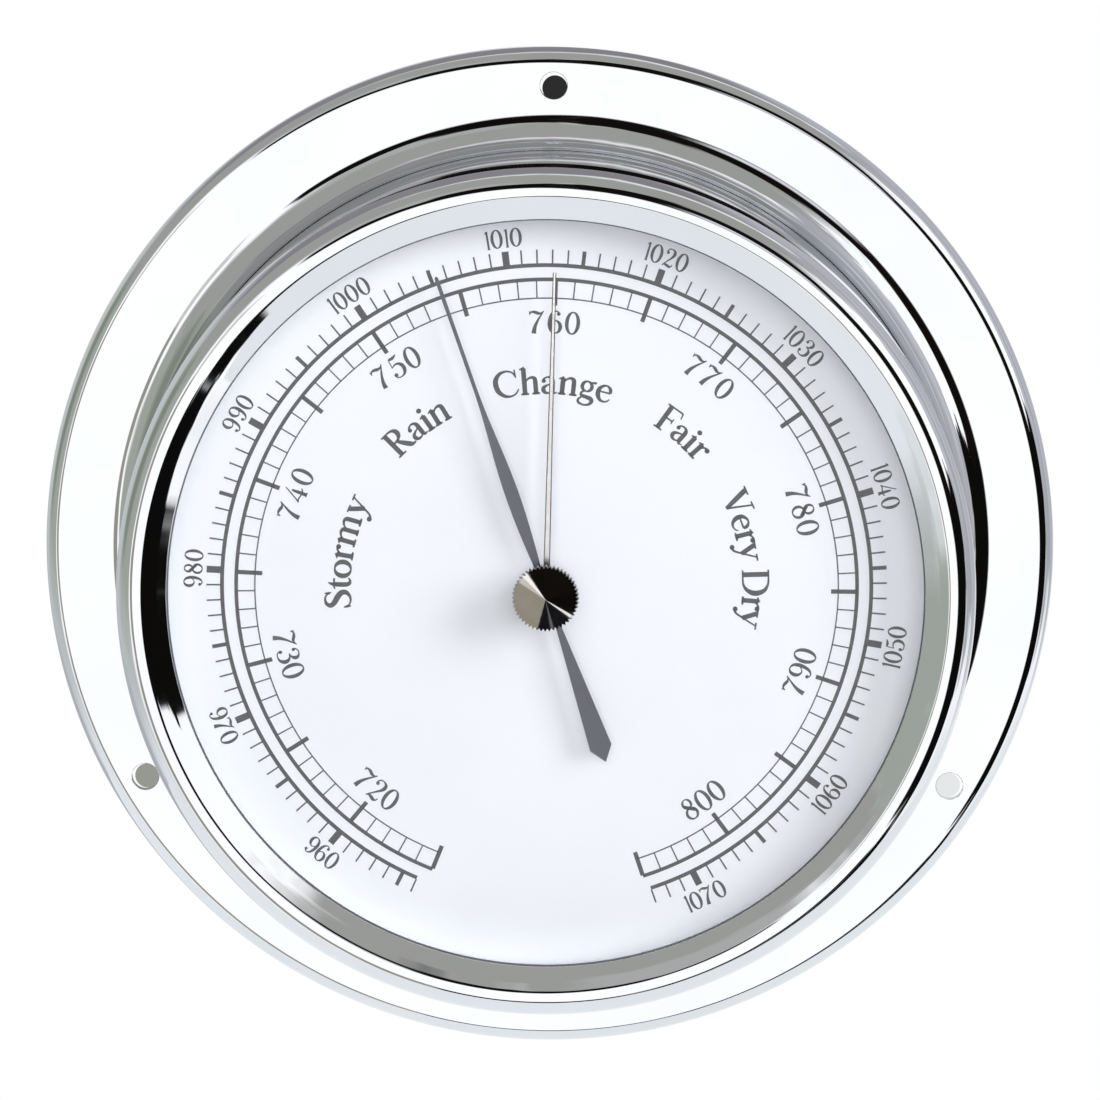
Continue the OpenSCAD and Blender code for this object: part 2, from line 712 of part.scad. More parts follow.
module diaphragm() rotate_extrude()
    polygon(concat(diaphragm_line(0), reversed(diaphragm_line(diaphragm_t))));

module capsule_front_diaphragm() facing() color("lightgray") translate([0, 0, capsule_mid]) diaphragm();

module capsule_rear_diaphragm() facing() color("lightgray") translate([0, 0, capsule_mid])
    mirror([0, 0, 1]) diaphragm();

module capsule_post() facing() color("gray") {
    rod(capsule_foot_r, carrier_top, capsule_mid - capsule_face);
    rod(post_r, base_z + 0.2, carrier_top + eps);
}

module capsule_post_nut() facing() color("gray") translate([0, 0, carrier_z - post_nut_h])
    linear_extrude(post_nut_h) difference() {
        circle(r = post_nut_r, $fn = 6);
        circle(post_r + seat_gap);
    }

// The stud stands on the front diaphragm and pushes the rocker's capsule arm
module push_stud() facing() color("gray") {
    rod(stud_foot_r, diaphragm_z, diaphragm_z + stud_foot_h);
    rod(stud_r, diaphragm_z + stud_foot_h / 2, stud_top + stud_rest - stud_r);
    translate([0, 0, stud_top + stud_rest - stud_r]) sphere(stud_r);
}

// Everything on the rocker shaft is drawn at mid scale and turned to the rest reading
module rocker() facing() translate([0, rocker_y, rocker_z]) rotate([rocker_rest, 0, 0]) children();

module along_x(r, x0, x1) { translate([x0, 0, 0]) rotate([0, 90, 0]) cylinder(r = r, h = x1 - x0); }

module rocker_shaft() rocker() color("gray") {
    along_x(rocker_r, bracket_left_x + bracket_t + end_gap, bracket_right_x - end_gap);
    along_x(rocker_pivot_r, bracket_left_x, bracket_right_x + bracket_t);
}

module capsule_arm() rocker() color("gold") difference() {
    union() {
        along_x(boss_r, -boss_half, boss_half);
        translate([-arm_half, -capsule_arm_len, -arm_half])
            cube([2 * arm_half, capsule_arm_len, 2 * arm_half]);
        translate([0, -capsule_arm_len, 0]) along_x(arm_half, -arm_half, arm_half);
    }
    along_x(rocker_r + seat_gap, -3, 3);
}

module fork_arm() rocker() color("gold") difference() {
    union() {
        translate([fork_x, 0, 0]) along_x(boss_r, -fork_t, fork_t);
        translate([fork_x - fork_t / 2, -fork_w / 2, 0]) cube([fork_t, fork_w, fork_len + fork_over]);
    }
    translate([fork_x, 0, 0]) along_x(rocker_r + seat_gap, -3, 3);
    translate([fork_x - fork_t, -fork_slot, fork_len - 1]) cube([2 * fork_t, 2 * fork_slot, 3]);
}

// Angle brackets on the movement base carry the rocker's pivots
module bracket(wall_x, foot_x0, hole_x) {
    difference() {
        union() {
            translate([wall_x, rocker_y - bracket_w / 2, base_top])
                cube([bracket_t, bracket_w, bracket_top - base_top]);
            translate([foot_x0, rocker_y - bracket_w / 2, base_top])
                cube([bracket_foot + eps, bracket_w, bracket_foot_t]);
        }
        translate([0, rocker_y, rocker_z])
            along_x(rocker_pivot_r + run_gap, wall_x - 1, wall_x + bracket_t + 1);
        translate([hole_x, rocker_y, 0])
            rod(screw_r + seat_gap, base_top - 1, base_top + bracket_foot_t + 1);
    }
}
module rocker_brackets() facing() color("gold") {
    bracket(bracket_left_x, bracket_left_x - bracket_foot, bracket_left_hole);
    bracket(bracket_right_x, bracket_right_x + bracket_t - eps, bracket_right_hole);
}

module bracket_holes(r, z0, z1) {
    for (x = [bracket_left_hole, bracket_right_hole]) translate([x, rocker_y, 0]) rod(r, z0, z1);
}

module bracket_screws() facing() color("gray")
    for (x = [bracket_left_hole, bracket_right_hole]) translate([x, rocker_y, base_top + bracket_foot_t])
        slotted_screw(screw_r, bracket_foot_t + base_t, screw_head_r, screw_head_t);

module adjusting_screw() facing() color("gray") translate([adjust_x, 0, 0]) difference() {
    union() {
        rod(adjust_r, adjust_head_z + 1, carrier_z - end_gap);
        rod(adjust_head_r, adjust_head_z, adjust_head_z + 1.4);
    }
    translate([-adjust_head_r - eps, -0.3, adjust_head_z - eps])
        cube([2 * adjust_head_r + 2 * eps, 0.6, 0.7]);
}

case_shell();
bezel_ring();
glass_pane();
glass_gasket();
dial_spacer_ring();
dial_plate();
dial_seat_ring();
rear_cover();
rear_cover_screws();
glass_bush();
bush_nut();
set_knob();
set_spindle();
spring_washer();
marker_hand();
pointer();
pointer_collet();
pointer_arbor();
pinion();
hairspring_collet();
hairspring();
hairspring_stud();
sector_gear();
sector_arbor();
sector_pin();
top_cock();
cock_pillars();
cock_screws();
bridge_plate();
dial_pillars();
movement_pillars();
movement_base();
base_screws();
cover_spacers();
capsule_carrier();
carrier_screws();
capsule_rear_diaphragm();
capsule_front_diaphragm();
capsule_post();
capsule_post_nut();
push_stud();
rocker_shaft();
capsule_arm();
fork_arm();
rocker_brackets();
bracket_screws();
adjusting_screw();
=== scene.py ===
# Marine barometer: chromed case with a wall flange, white dial, blue-grey pointer and a marker hand.
# Sizes are in millimetres in the dial's own frame; placeOnWall turns a point to metres,
# with the dial looking along -Y and 12 o'clock pointing to +Z.
import math

import bmesh
import bpy
from mathutils import Matrix, Vector


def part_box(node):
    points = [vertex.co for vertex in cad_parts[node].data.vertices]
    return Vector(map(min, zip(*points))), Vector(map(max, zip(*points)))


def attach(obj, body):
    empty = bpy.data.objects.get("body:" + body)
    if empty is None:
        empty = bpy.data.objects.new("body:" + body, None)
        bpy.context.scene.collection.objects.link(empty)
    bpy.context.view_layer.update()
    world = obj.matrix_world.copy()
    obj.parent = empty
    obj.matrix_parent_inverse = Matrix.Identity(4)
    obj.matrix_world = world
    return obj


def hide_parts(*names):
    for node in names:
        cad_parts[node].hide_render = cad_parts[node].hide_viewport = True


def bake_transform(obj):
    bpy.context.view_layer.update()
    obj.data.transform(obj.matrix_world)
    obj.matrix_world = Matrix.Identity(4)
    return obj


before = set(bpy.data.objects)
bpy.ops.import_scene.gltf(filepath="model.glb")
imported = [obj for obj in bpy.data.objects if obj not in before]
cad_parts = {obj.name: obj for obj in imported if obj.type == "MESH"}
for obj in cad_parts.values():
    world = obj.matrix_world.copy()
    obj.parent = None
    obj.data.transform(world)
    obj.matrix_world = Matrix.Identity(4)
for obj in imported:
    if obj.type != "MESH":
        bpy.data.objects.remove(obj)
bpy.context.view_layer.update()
scene = bpy.context.scene
scene.view_settings.view_transform = "Standard"
mm = 0.001
print("frame loaded:", len(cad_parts), "nodes")


def placeOnWall(x, y, z):  # x right, y up, z towards the viewer
    return Vector((x * mm, -z * mm, y * mm))


def heightsOf(node):  # back and front of a CAD piece, in mm above the wall
    low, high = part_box(node)
    return -high[1] / mm, -low[1] / mm


def linearColour(hexText):
    values = [int(hexText[i:i + 2], 16) / 255 for i in (1, 3, 5)]
    return [v / 12.92 if v <= 0.04045 else ((v + 0.055) / 1.055) ** 2.4 for v in values] + [1]


def addNode(tree, kind, settings=None, inputs=None):
    node = tree.nodes.new(kind)
    for key, value in (settings or {}).items():
        setattr(node, key, value)
    for key, value in (inputs or {}).items():
        if isinstance(value, bpy.types.NodeSocket):
            tree.links.new(value, node.inputs[key])
        else:
            node.inputs[key].default_value = value
    return node


def newMaterial(name):
    material = bpy.data.materials.new(name)
    material.use_nodes = True
    material.node_tree.nodes.clear()
    return material, material.node_tree


def setRamp(node, stops):
    ramp = node.color_ramp
    while len(ramp.elements) > 1:
        ramp.elements.remove(ramp.elements[-1])
    ramp.elements[0].position = stops[0][0]
    ramp.elements[0].color = stops[0][1]
    for place, colour in stops[1:]:
        ramp.elements.new(place).color = colour


def grey(value):
    return [value, value, value, 1]


noiseRange = (0.3, 0.7)  # nearly all of the noise lies between these


def noiseAt(tree, sizeMm, detail=2.0, stretch=None):  # sizeMm is the width of one blotch
    where = addNode(tree, "ShaderNodeTexCoord").outputs["Object"]
    if stretch:
        where = addNode(tree, "ShaderNodeVectorMath", {"operation": "MULTIPLY"},
                        {0: where, 1: stretch}).outputs[0]
    return addNode(tree, "ShaderNodeTexNoise", None,
                   {"Vector": where, "Scale": 1 / (sizeMm * mm), "Detail": detail}).outputs["Fac"]


def spread(tree, value, low, high):
    return addNode(tree, "ShaderNodeMapRange", None, {
        "Value": value, "From Min": noiseRange[0], "From Max": noiseRange[1],
        "To Min": low, "To Max": high}).outputs["Result"]


def tint(tree, value, firstHex, secondHex):
    ramp = addNode(tree, "ShaderNodeValToRGB", None, {"Fac": value})
    setRamp(ramp, list(zip(noiseRange, (linearColour(firstHex), linearColour(secondHex)))))
    return ramp.outputs["Color"]


def bumpOf(tree, height, deepMm):
    return addNode(tree, "ShaderNodeBump", None,
                   {"Strength": 1.0, "Distance": deepMm * mm, "Height": height}).outputs["Normal"]


def finishSurface(name, look):
    material, tree = newMaterial(name)
    blotch = noiseAt(tree, look["blotch"], 3.0, look.get("stretch"))
    grain = noiseAt(tree, look["grain"], 2.0, look.get("stretch"))
    inputs = {
        "Base Color": tint(tree, blotch, look["low"], look["high"]),
        "Metallic": look.get("metallic", 0.0),
        "Roughness": spread(tree, grain, *look["roughness"]),
        "Normal": bumpOf(tree, grain, look["deep"]),
    }
    if "ior" in look:
        inputs["IOR"] = look["ior"]
    surface = addNode(tree, "ShaderNodeBsdfPrincipled", None, inputs)
    addNode(tree, "ShaderNodeOutputMaterial", None, {"Surface": surface.outputs[0]})
    return material


finishes = {
    # bright chromium plate over polished brass: a hard mirror, faintly uneven over a few millimetres. It
    # gives back about seven tenths of the light, so what it mirrors twice, as round the fillet, is darker
    "chrome": {"name": "polishedChromePlate", "low": "#D6D8DB", "high": "#DBDDE0", "metallic": 1.0,
               "blotch": 30, "grain": 9, "roughness": (0.02, 0.04), "deep": 0.0012},
    # diamond-turned and chromed knob: each side of the shallow cone mirrors one part of the room
    "knob": {"name": "turnedChromePlate", "low": "#D0CDC8", "high": "#D9D7D3", "metallic": 1.0,
             "blotch": 2, "grain": 0.3, "roughness": (0.03, 0.07), "deep": 0.0001},
    # knurled edge: the same plate with a dark base colour, painted shade down in the teeth, so the edge reads
    # as a dark saw-tooth
    "knurl": {"name": "knurlPaintedShade", "low": "#1E1C19", "high": "#4A463F", "metallic": 1.0,
              "blotch": 0.8, "grain": 0.2, "roughness": (0.2, 0.35), "deep": 0.0005},
    # baked white enamel on sheet brass: silky, with a weak orange peel
    "dial_white": {"name": "bakedWhiteEnamel", "low": "#F4F7FA", "high": "#F7FAFC",
                   "blotch": 18, "grain": 0.8, "roughness": (0.42, 0.5), "deep": 0.0008, "ior": 1.5},
    # natural rubber ring: matt, slightly dusty
    "rubber": {"name": "mattBlackRubber", "low": "#161616", "high": "#202020",
               "blotch": 4, "grain": 0.25, "roughness": (0.6, 0.8), "deep": 0.02, "ior": 1.52},
    # grey sealant bead, slightly silky
    "seal": {"name": "greySealant", "low": "#5B5F64", "high": "#676B70",
             "blotch": 4, "grain": 0.25, "roughness": (0.4, 0.55), "deep": 0.005, "ior": 1.45},
    # moulded ABS with the fine grain of an eroded tool
    "black_plastic": {"name": "mouldedBlackAbs", "low": "#19191A", "high": "#212122",
                      "blotch": 12, "grain": 0.45, "roughness": (0.45, 0.6), "deep": 0.02, "ior": 1.53},
    # stamped brass sheet, rolled along X: warm satin with drawn lines
    "brass": {"name": "rolledBrass", "low": "#C49A55", "high": "#D2AC68", "metallic": 1.0,
              "blotch": 9, "grain": 0.35, "stretch": (0.12, 1.0, 1.0), "roughness": (0.2, 0.34),
              "deep": 0.001},
    # turned free-cutting steel: grey and close-grained
    "steel": {"name": "turnedSteel", "low": "#9C9EA1", "high": "#ABADB0", "metallic": 1.0,
              "blotch": 3, "grain": 0.2, "roughness": (0.22, 0.34), "deep": 0.001},
    # lacquered steel hand: dark blue-grey with a soft sheen
    "pointer_finish": {"name": "lacqueredPointerSteel", "low": "#292C38", "high": "#303441",
                       "blotch": 5, "grain": 0.3, "roughness": (0.35, 0.45), "deep": 0.001, "ior": 1.5},
    # rolled nickel silver: pale, slightly warm satin
    "nickel_silver": {"name": "rolledNickelSilver", "low": "#BDB8AE", "high": "#C9C4BA", "metallic": 1.0,
                      "blotch": 6, "grain": 0.3, "stretch": (0.15, 1.0, 1.0), "roughness": (0.2, 0.32),
                      "deep": 0.001},
    # marker hand: bright nickel plate, polished; its sloping edges get a dark colour, painted shade that
    # draws a dark line along each side
    "marker": {"name": "brightNickelHand", "low": "#DAD8D6", "high": "#E0DFDE", "metallic": 1.0,
               "blotch": 4, "grain": 1.5, "roughness": (0.12, 0.18), "deep": 0.0002},
    "marker_edge": {"name": "paintedShadeEdge", "low": "#3A3634", "high": "#4A4543", "metallic": 0.6,
                    "blotch": 1.5, "grain": 0.2, "roughness": (0.4, 0.5), "deep": 0.0002},
    # screen ink on enamel: thin, matt and a little uneven
    "ink": {"name": "screenPrintedInk", "low": "#26282C", "high": "#2E3035",
            "blotch": 1.2, "grain": 0.15, "roughness": (0.5, 0.65), "deep": 0.0005, "ior": 1.48},
}
materials = {slot: finishSurface(look["name"], look) for slot, look in finishes.items()}

# clear float glass: a sharp, weak mirror over the dial, and a faint cool tint where the lamps shine through
glassLook = {"hex": "#FDFDFE", "ior": 1.46, "roughness": 0.0, "shadowHex": "#FBFBFD"}


def clearGlass():
    material, tree = newMaterial("clearFloatGlass")
    glass = addNode(tree, "ShaderNodeBsdfPrincipled", None, {
        "Base Color": linearColour(glassLook["hex"]), "Roughness": glassLook["roughness"],
        "IOR": glassLook["ior"], "Transmission Weight": 1.0})
    clear = addNode(tree, "ShaderNodeBsdfTransparent", None, {"Color": linearColour(glassLook["shadowHex"])})
    path = addNode(tree, "ShaderNodeLightPath")
    lamp = addNode(tree, "ShaderNodeMath", {"operation": "MAXIMUM"},
                   {0: path.outputs["Is Shadow Ray"], 1: path.outputs["Is Diffuse Ray"]})
    mixed = addNode(tree, "ShaderNodeMixShader", None,
                    {"Fac": lamp.outputs[0], 1: glass.outputs[0], 2: clear.outputs[0]})
    addNode(tree, "ShaderNodeOutputMaterial", None, {"Surface": mixed.outputs[0]})
    return material


materials["glass"] = clearGlass()
print("materials ready:", len(materials))

# Every CAD node gets the finish of the slot that it was packed with
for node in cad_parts.values():
    for slot in node.material_slots:
        base = slot.material.name.split(".")[0]
        if base in materials:
            slot.material = materials[base]
        else:
            print("no finish for", node.name, base)


def linkMesh(name, bm):
    mesh = bpy.data.meshes.new(name)
    bm.to_mesh(mesh)
    bm.free()
    piece = bpy.data.objects.new(name, mesh)
    scene.collection.objects.link(piece)
    return piece


def shadeSmooth(mesh, sharp=32):  # edges sharper than this many degrees stay sharp
    for polygon in mesh.polygons:
        polygon.use_smooth = True
    mesh.set_sharp_from_angle(angle=math.radians(sharp))


def finishMesh(name, bm, slotName, body, sharp=32):
    bmesh.ops.recalc_face_normals(bm, faces=bm.faces)
    piece = linkMesh(name, bm)
    shadeSmooth(piece.data, sharp)
    piece.data.materials.append(materials[slotName])
    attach(piece, body)
    return piece


def soften(corners, degreesPerStep=5, hold=0.06):
    # corners are (r, z, fillet radius) round a closed outline; hold keeps the flats flat beside each fillet
    outline = []
    count = len(corners)
    for i, (r, z, fillet) in enumerate(corners):
        here = Vector((r, z))
        before = Vector(corners[i - 1][:2]) - here
        after = Vector(corners[(i + 1) % count][:2]) - here
        if not fillet:
            outline.append(tuple(here))
            continue
        before.normalize()
        after.normalize()
        half = before.angle(after) / 2
        back = fillet / math.tan(half)
        centre = here + (before + after).normalized() * fillet / math.sin(half)
        start = here + before * back
        end = here + after * back
        turn = math.pi - 2 * half
        first = math.atan2(start.y - centre.y, start.x - centre.x)
        last = math.atan2(end.y - centre.y, end.x - centre.x)
        sweep = (last - first + math.pi) % (2 * math.pi) - math.pi
        steps = max(2, math.ceil(math.degrees(turn) / degreesPerStep))
        outline.append(tuple(start + before * min(hold, fillet)))
        for k in range(steps + 1):
            a = first + sweep * k / steps
            outline.append((centre.x + fillet * math.cos(a), centre.y + fillet * math.sin(a)))
        outline.append(tuple(end + after * min(hold, fillet)))
    return outline


def addLathe(bm, outline, steps=384, radiusAt=None):
    # outline is closed, as (r, z); radiusAt(r, z, angle) can wave the radius, as on a knurl
    rings = []
    for r, z in outline:
        if r < 1e-6:  # a point on the axis
            rings.append([bm.verts.new(placeOnWall(0, 0, z))])
            continue
        ring = []
        for k in range(steps):
            a = 2 * math.pi * k / steps
            wide = radiusAt(r, z, a) if radiusAt else r
            ring.append(bm.verts.new(placeOnWall(wide * math.cos(a), wide * math.sin(a), z)))
        rings.append(ring)
    for first, second in zip(rings, rings[1:] + rings[:1]):
        if len(first) == 1 and len(second) == 1:
            continue
        for k in range(steps):
            n = (k + 1) % steps
            loop = [ring[i % len(ring)] for ring, i in ((first, k), (first, n), (second, n), (second, k))]
            bm.faces.new(list(dict.fromkeys(loop)))


def bridgeRings(bm, first, second):  # a band of faces between two rings of as many points
    count = len(first)
    turns = [(k, (k + 1) % count) for k in range(count)]
    return [bm.faces.new([first[k], first[n], second[n], second[k]]) for k, n in turns]


def skinRings(bm, rings, closed=False):  # an open run of rings gets a cap at both ends
    for first, second in zip(rings, rings[1:] + rings[:1] if closed else rings[1:]):
        bridgeRings(bm, first, second)
    if not closed:
        bm.faces.new(rings[0][::-1])
        bm.faces.new(rings[-1])


def cutWith(piece, cutter):
    cut = piece.modifiers.new("holes", "BOOLEAN")
    cut.solver = "EXACT"
    cut.object = cutter
    bpy.context.view_layer.update()
    solved = bpy.data.meshes.new_from_object(piece.evaluated_get(bpy.context.evaluated_depsgraph_get()))
    piece.modifiers.clear()
    piece.data = solved
    bpy.data.objects.remove(cutter)


# Case: one spun sheet of brass from the wall flange to the bezel seat
case = {"flangeR": 65.0, "faceZ": 3.4, "rimR": 1.9, "sheet": 1.2, "bodyR": 52.4, "filletR": 4.2,
        "topZ": heightsOf("case_shell")[1], "edge": 0.12}
# the three screw holes, each cut by a rod that starts "under" mm behind the wall and bevels the hole's edge
holes = {"r": 1.75, "circleR": 60.2, "angles": (90, 210, 330), "edge": 0.05, "under": 1, "steps": 64}


def holeAt(angle):
    a = math.radians(angle)
    return holes["circleR"] * math.cos(a), holes["circleR"] * math.sin(a)


def buildHoleCutter():
    bm = bmesh.new()
    r, edge, back, front = holes["r"], holes["edge"], -holes["under"], case["faceZ"]
    for angle in holes["angles"]:
        start = len(bm.verts)
        addLathe(bm, [(0, back), (r, back), (r, front - edge), (r + 2 * edge, front + edge),
                      (0, front + edge)], holes["steps"])
        bm.verts.ensure_lookup_table()
        shift = Matrix.Translation(placeOnWall(*holeAt(angle), 0))
        bmesh.ops.transform(bm, matrix=shift, verts=bm.verts[start:])
    bmesh.ops.recalc_face_normals(bm, faces=bm.faces)
    return linkMesh("holeCutter", bm)


def buildCase():
    bore = case["bodyR"] - case["sheet"]
    under = case["faceZ"] - case["sheet"]
    inner = case["flangeR"] - case["sheet"]
    outline = soften([
        (case["flangeR"], 0, case["edge"]), (case["flangeR"], case["faceZ"], case["rimR"]),
        (case["bodyR"], case["faceZ"], case["filletR"]), (case["bodyR"], case["topZ"], case["edge"]),
        (bore, case["topZ"], case["edge"]), (bore, under, case["filletR"] + case["sheet"]),
        (inner, under, case["rimR"] - case["sheet"]), (inner, 0, case["edge"])])
    bm = bmesh.new()
    addLathe(bm, outline)
    piece = finishMesh("caseBody", bm, "chrome", "root")
    cutWith(piece, buildHoleCutter())
    shadeSmooth(piece.data)
    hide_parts("case_shell")


buildCase()
print("case built")

# Bezel: pushed over the case's front edge; a slightly crowned bevel leads down to the window
skirtZ, crestZ = heightsOf("bezel_ring")
glassZ = heightsOf("glass_pane")[1]
bezel = {"windowR": 46.9, "windowEdge": 0.05, "lip": 0.5, "lipEdge": 0.12,
         "bevelMidR": 48.45, "bevelCrown": 0.1, "bevelRound": 7, "crestInR": 49.9, "crestEdge": 1.2,
         "crestZ": crestZ, "outR": 53.2, "roundR": 2.4, "skirtZ": skirtZ, "skirtEdge": 0.2,
         "seatR": 52.45, "seatEdge": 0.1, "steps": 512}
# thin bead of sealant between the lip and the glass
seal = {"innerR": 46.72, "outerR": 46.95, "low": 0.01, "high": 0.12, "round": 0.08,
        "degreesPerStep": 20, "hold": 0.01}


def buildBezel():
    b = bezel
    lipZ = glassZ + b["lip"]
    share = (b["bevelMidR"] - b["windowR"]) / (b["crestInR"] - b["windowR"])
    bevelMidZ = lipZ + share * (b["crestZ"] - lipZ) + b["bevelCrown"]
    outline = soften([
        (b["windowR"], glassZ, b["windowEdge"]), (b["windowR"], lipZ, b["lipEdge"]),
        (b["bevelMidR"], bevelMidZ, b["bevelRound"]), (b["crestInR"], b["crestZ"], b["crestEdge"]),
        (b["outR"], b["crestZ"], b["roundR"]), (b["outR"], b["skirtZ"], b["skirtEdge"]),
        (b["seatR"], b["skirtZ"], b["seatEdge"]), (b["seatR"], glassZ, 0)])
    bm = bmesh.new()
    addLathe(bm, outline, b["steps"])
    piece = finishMesh("bezelRing", bm, "chrome", "root")
    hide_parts("bezel_ring")


def buildSeal():
    low, high = glassZ + seal["low"], glassZ + seal["high"]
    bm = bmesh.new()
    addLathe(bm, soften([(seal["innerR"], low, 0), (seal["outerR"], low, 0), (seal["outerR"], high, 0),
                         (seal["innerR"], high, seal["round"])], seal["degreesPerStep"], seal["hold"]))
    finishMesh("windowSeal", bm, "seal", "root")


buildBezel()
buildSeal()
print("bezel built")

# Setting knob: a turned cone that runs to a point, cut all round by the teeth of the knurled edge
knobBack, knobFront = heightsOf("set_knob")
knob = {"r": 4.12, "backZ": knobBack, "topZ": knobFront, "coneHigh": 0.78, "tipR": 0.06, "rings": 12,
        "grooves": 48, "grooveDeep": 0.38, "stepsPerGroove": 10, "rootGap": 0.02, "backEdge": (0.4, 0.15),
        "toothHigh": 0.5, "recessR": 3.2, "recessDeep": 0.45, "boreR": 1.22, "boreDeep": 0.4, "sharp": 24}
nearly = 0.01  # mm within which a point counts as on a radius


def buildKnob():
    k = knob
    rimZ = k["topZ"] - k["coneHigh"]
    root = k["r"] - k["grooveDeep"] - k["rootGap"]

    def knurl(r, z, a):  # pointed teeth all round
        if r < k["r"] - nearly:
            return r
        phase = (a * k["grooves"] / (2 * math.pi)) % 1
        return r - k["grooveDeep"] * (1 - abs(2 * phase - 1))

    def coneZ(r):
        return rimZ + k["coneHigh"] * (1 - r / k["r"])

    recess = k["backZ"] + k["recessDeep"]
    edgeIn, edgeHigh = k["backEdge"]
    outline = [(k["boreR"], recess), (k["recessR"], recess), (k["recessR"], k["backZ"]),
               (k["r"] - edgeIn, k["backZ"]), (k["r"], k["backZ"] + edgeHigh), (k["r"], rimZ)]
    for i in range(k["rings"] + 1):
        r = root + (k["tipR"] - root) * i / k["rings"]
        outline.append((r, coneZ(r)))
    outline += [(0, k["topZ"]), (0, rimZ - k["boreDeep"]), (k["boreR"], rimZ - k["boreDeep"])]
    bm = bmesh.new()
    addLathe(bm, outline, k["grooves"] * k["stepsPerGroove"], knurl)
    for vert in bm.verts:  # the cut ends of the teeth stay on the cone
        if abs(vert.co.y + rimZ * mm) < 1e-6:
            vert.co.y = -coneZ(math.hypot(vert.co.x, vert.co.z) / mm) * mm
    for face in bm.faces:  # outer faces taller than toothHigh are the knurl
        heights = [-v.co.y / mm for v in face.verts]
        inner = min(math.hypot(v.co.x, v.co.z) for v in face.verts)
        if inner > (root + nearly) * mm and max(heights) - min(heights) > k["toothHigh"]:
            face.material_index = 1
    piece = finishMesh("settingKnob", bm, "knob", "marker_body", k["sharp"])
    # the knurl faces take the dark finish: painted shade in the teeth
    piece.data.materials.append(materials["knurl"])
    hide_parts("set_knob")


buildKnob()
print("knob built")

# Marker hand: a thin bright strip, drawn down at both edges, where a dark colour is painted shade, so that it
# shows a dark line on each side
markerBack, markerFront = heightsOf("marker_hand")
marker = {"turn": 1.0, "length": 40.0, "rows": 24, "hubWide": 0.84, "tipWide": 0.44, "backZ": markerBack,
          "topZ": markerFront, "edge": 0.13, "edgeHigh": 0.55, "hubR": 1.7, "boreR": 0.82, "startInHub": 0.6,
          "hubEdge": 0.06, "hubSteps": 96, "backInset": 0.002, "topInset": 0.004}


def buildMarker():
    m = marker
    bm = bmesh.new()
    rows = []
    for y in [m["hubR"] * m["startInHub"]] + [m["length"] * i / m["rows"] for i in range(2, m["rows"] + 1)]:
        half = (m["hubWide"] + (m["tipWide"] - m["hubWide"]) * y / m["length"]) / 2
        flat = half - m["edge"]
        edge = m["edgeHigh"]
        across = [(-half, 0), (-half, edge), (-flat, 1), (flat, 1), (half, edge), (half, 0)]
        rows.append([bm.verts.new(placeOnWall(x, y, m["backZ"] + share * (m["topZ"] - m["backZ"])))
                     for x, share in across])
    for low, high in zip(rows, rows[1:]):
        for k, face in enumerate(bridgeRings(bm, low, high)):
            face.material_index = 0 if k in (2, 5) else 1  # the flat top and back are bright
    bm.faces.new(rows[0])
    bm.faces.new(rows[-1])
    back, top = m["backZ"] + m["backInset"], m["topZ"] - m["topInset"]
    addLathe(bm, [(m["boreR"], back), (m["hubR"], back), (m["hubR"], m["topZ"] - m["hubEdge"]),
                  (m["hubR"] - m["hubEdge"], top), (m["boreR"], top)], m["hubSteps"])
    turn = Matrix.Rotation(math.radians(m["turn"]), 4, "Y")
    bmesh.ops.transform(bm, matrix=turn, verts=bm.verts)
    piece = finishMesh("markerHand", bm, "marker", "marker_body")
    # the sloping edges take the dark finish: painted shade
    piece.data.materials.append(materials["marker_edge"])
    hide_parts("marker_hand")


buildMarker()
print("marker hand built")


def buildDiaphragm():
    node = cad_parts["capsule_front_diaphragm"]
    piece = bpy.data.objects.new("breathingDiaphragm", node.data.copy())
    scene.collection.objects.link(piece)
    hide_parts("capsule_front_diaphragm")
    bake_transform(piece)


buildDiaphragm()
print("diaphragm built")

# Dial print: scales, numbers and the five traditional weather words, all turned by the dial's twist
dial = {"twist": 1.2, "faceZ": heightsOf("dial_plate")[1], "inkUnder": 0.002, "inkThick": 0.02,
        "pascalStep": 2.6667, "pascalAtTop": 1013.25, "mercuryStep": 3.5556, "mercuryAtTop": 760,
        "flipPast": 95}  # further round than this, numbers have their heads towards the centre


def dialPoint(x, y, high):
    return placeOnWall(x, y, dial["faceZ"] + (dial["inkThick"] if high else dial["inkUnder"]))


def addSlab(bm, outline):  # closed outline on the dial, as a thin film of ink
    low = [bm.verts.new(dialPoint(x, y, False)) for x, y in outline]
    high = [bm.verts.new(dialPoint(x, y, True)) for x, y in outline]
    bm.faces.new(low[::-1])
    bm.faces.new(high)
    bridgeRings(bm, low, high)


def onDial(angle, radius, along=0.0):  # angle clockwise from the top, along is a sideways step in mm
    a = math.radians(angle + dial["twist"])
    return (radius * math.sin(a) + along * math.cos(a), radius * math.cos(a) - along * math.sin(a))


inkSides = ((-1, False), (1, False), (1, True), (-1, True))  # round a line of ink: side, and whether high


def addTick(bm, angle, inner, outer, wide):
    addSlab(bm, [onDial(angle, inner, -wide / 2), onDial(angle, outer, -wide / 2),
                 onDial(angle, outer, wide / 2), onDial(angle, inner, wide / 2)])


def addArc(bm, fromAngle, toAngle, radius, wide):
    steps = int(abs(toAngle - fromAngle))
    angles = [fromAngle + (toAngle - fromAngle) * i / steps for i in range(steps + 1)]
    skinRings(bm, [[bm.verts.new(dialPoint(*onDial(a, radius + side * wide / 2), high))
                    for side, high in inkSides] for a in angles])


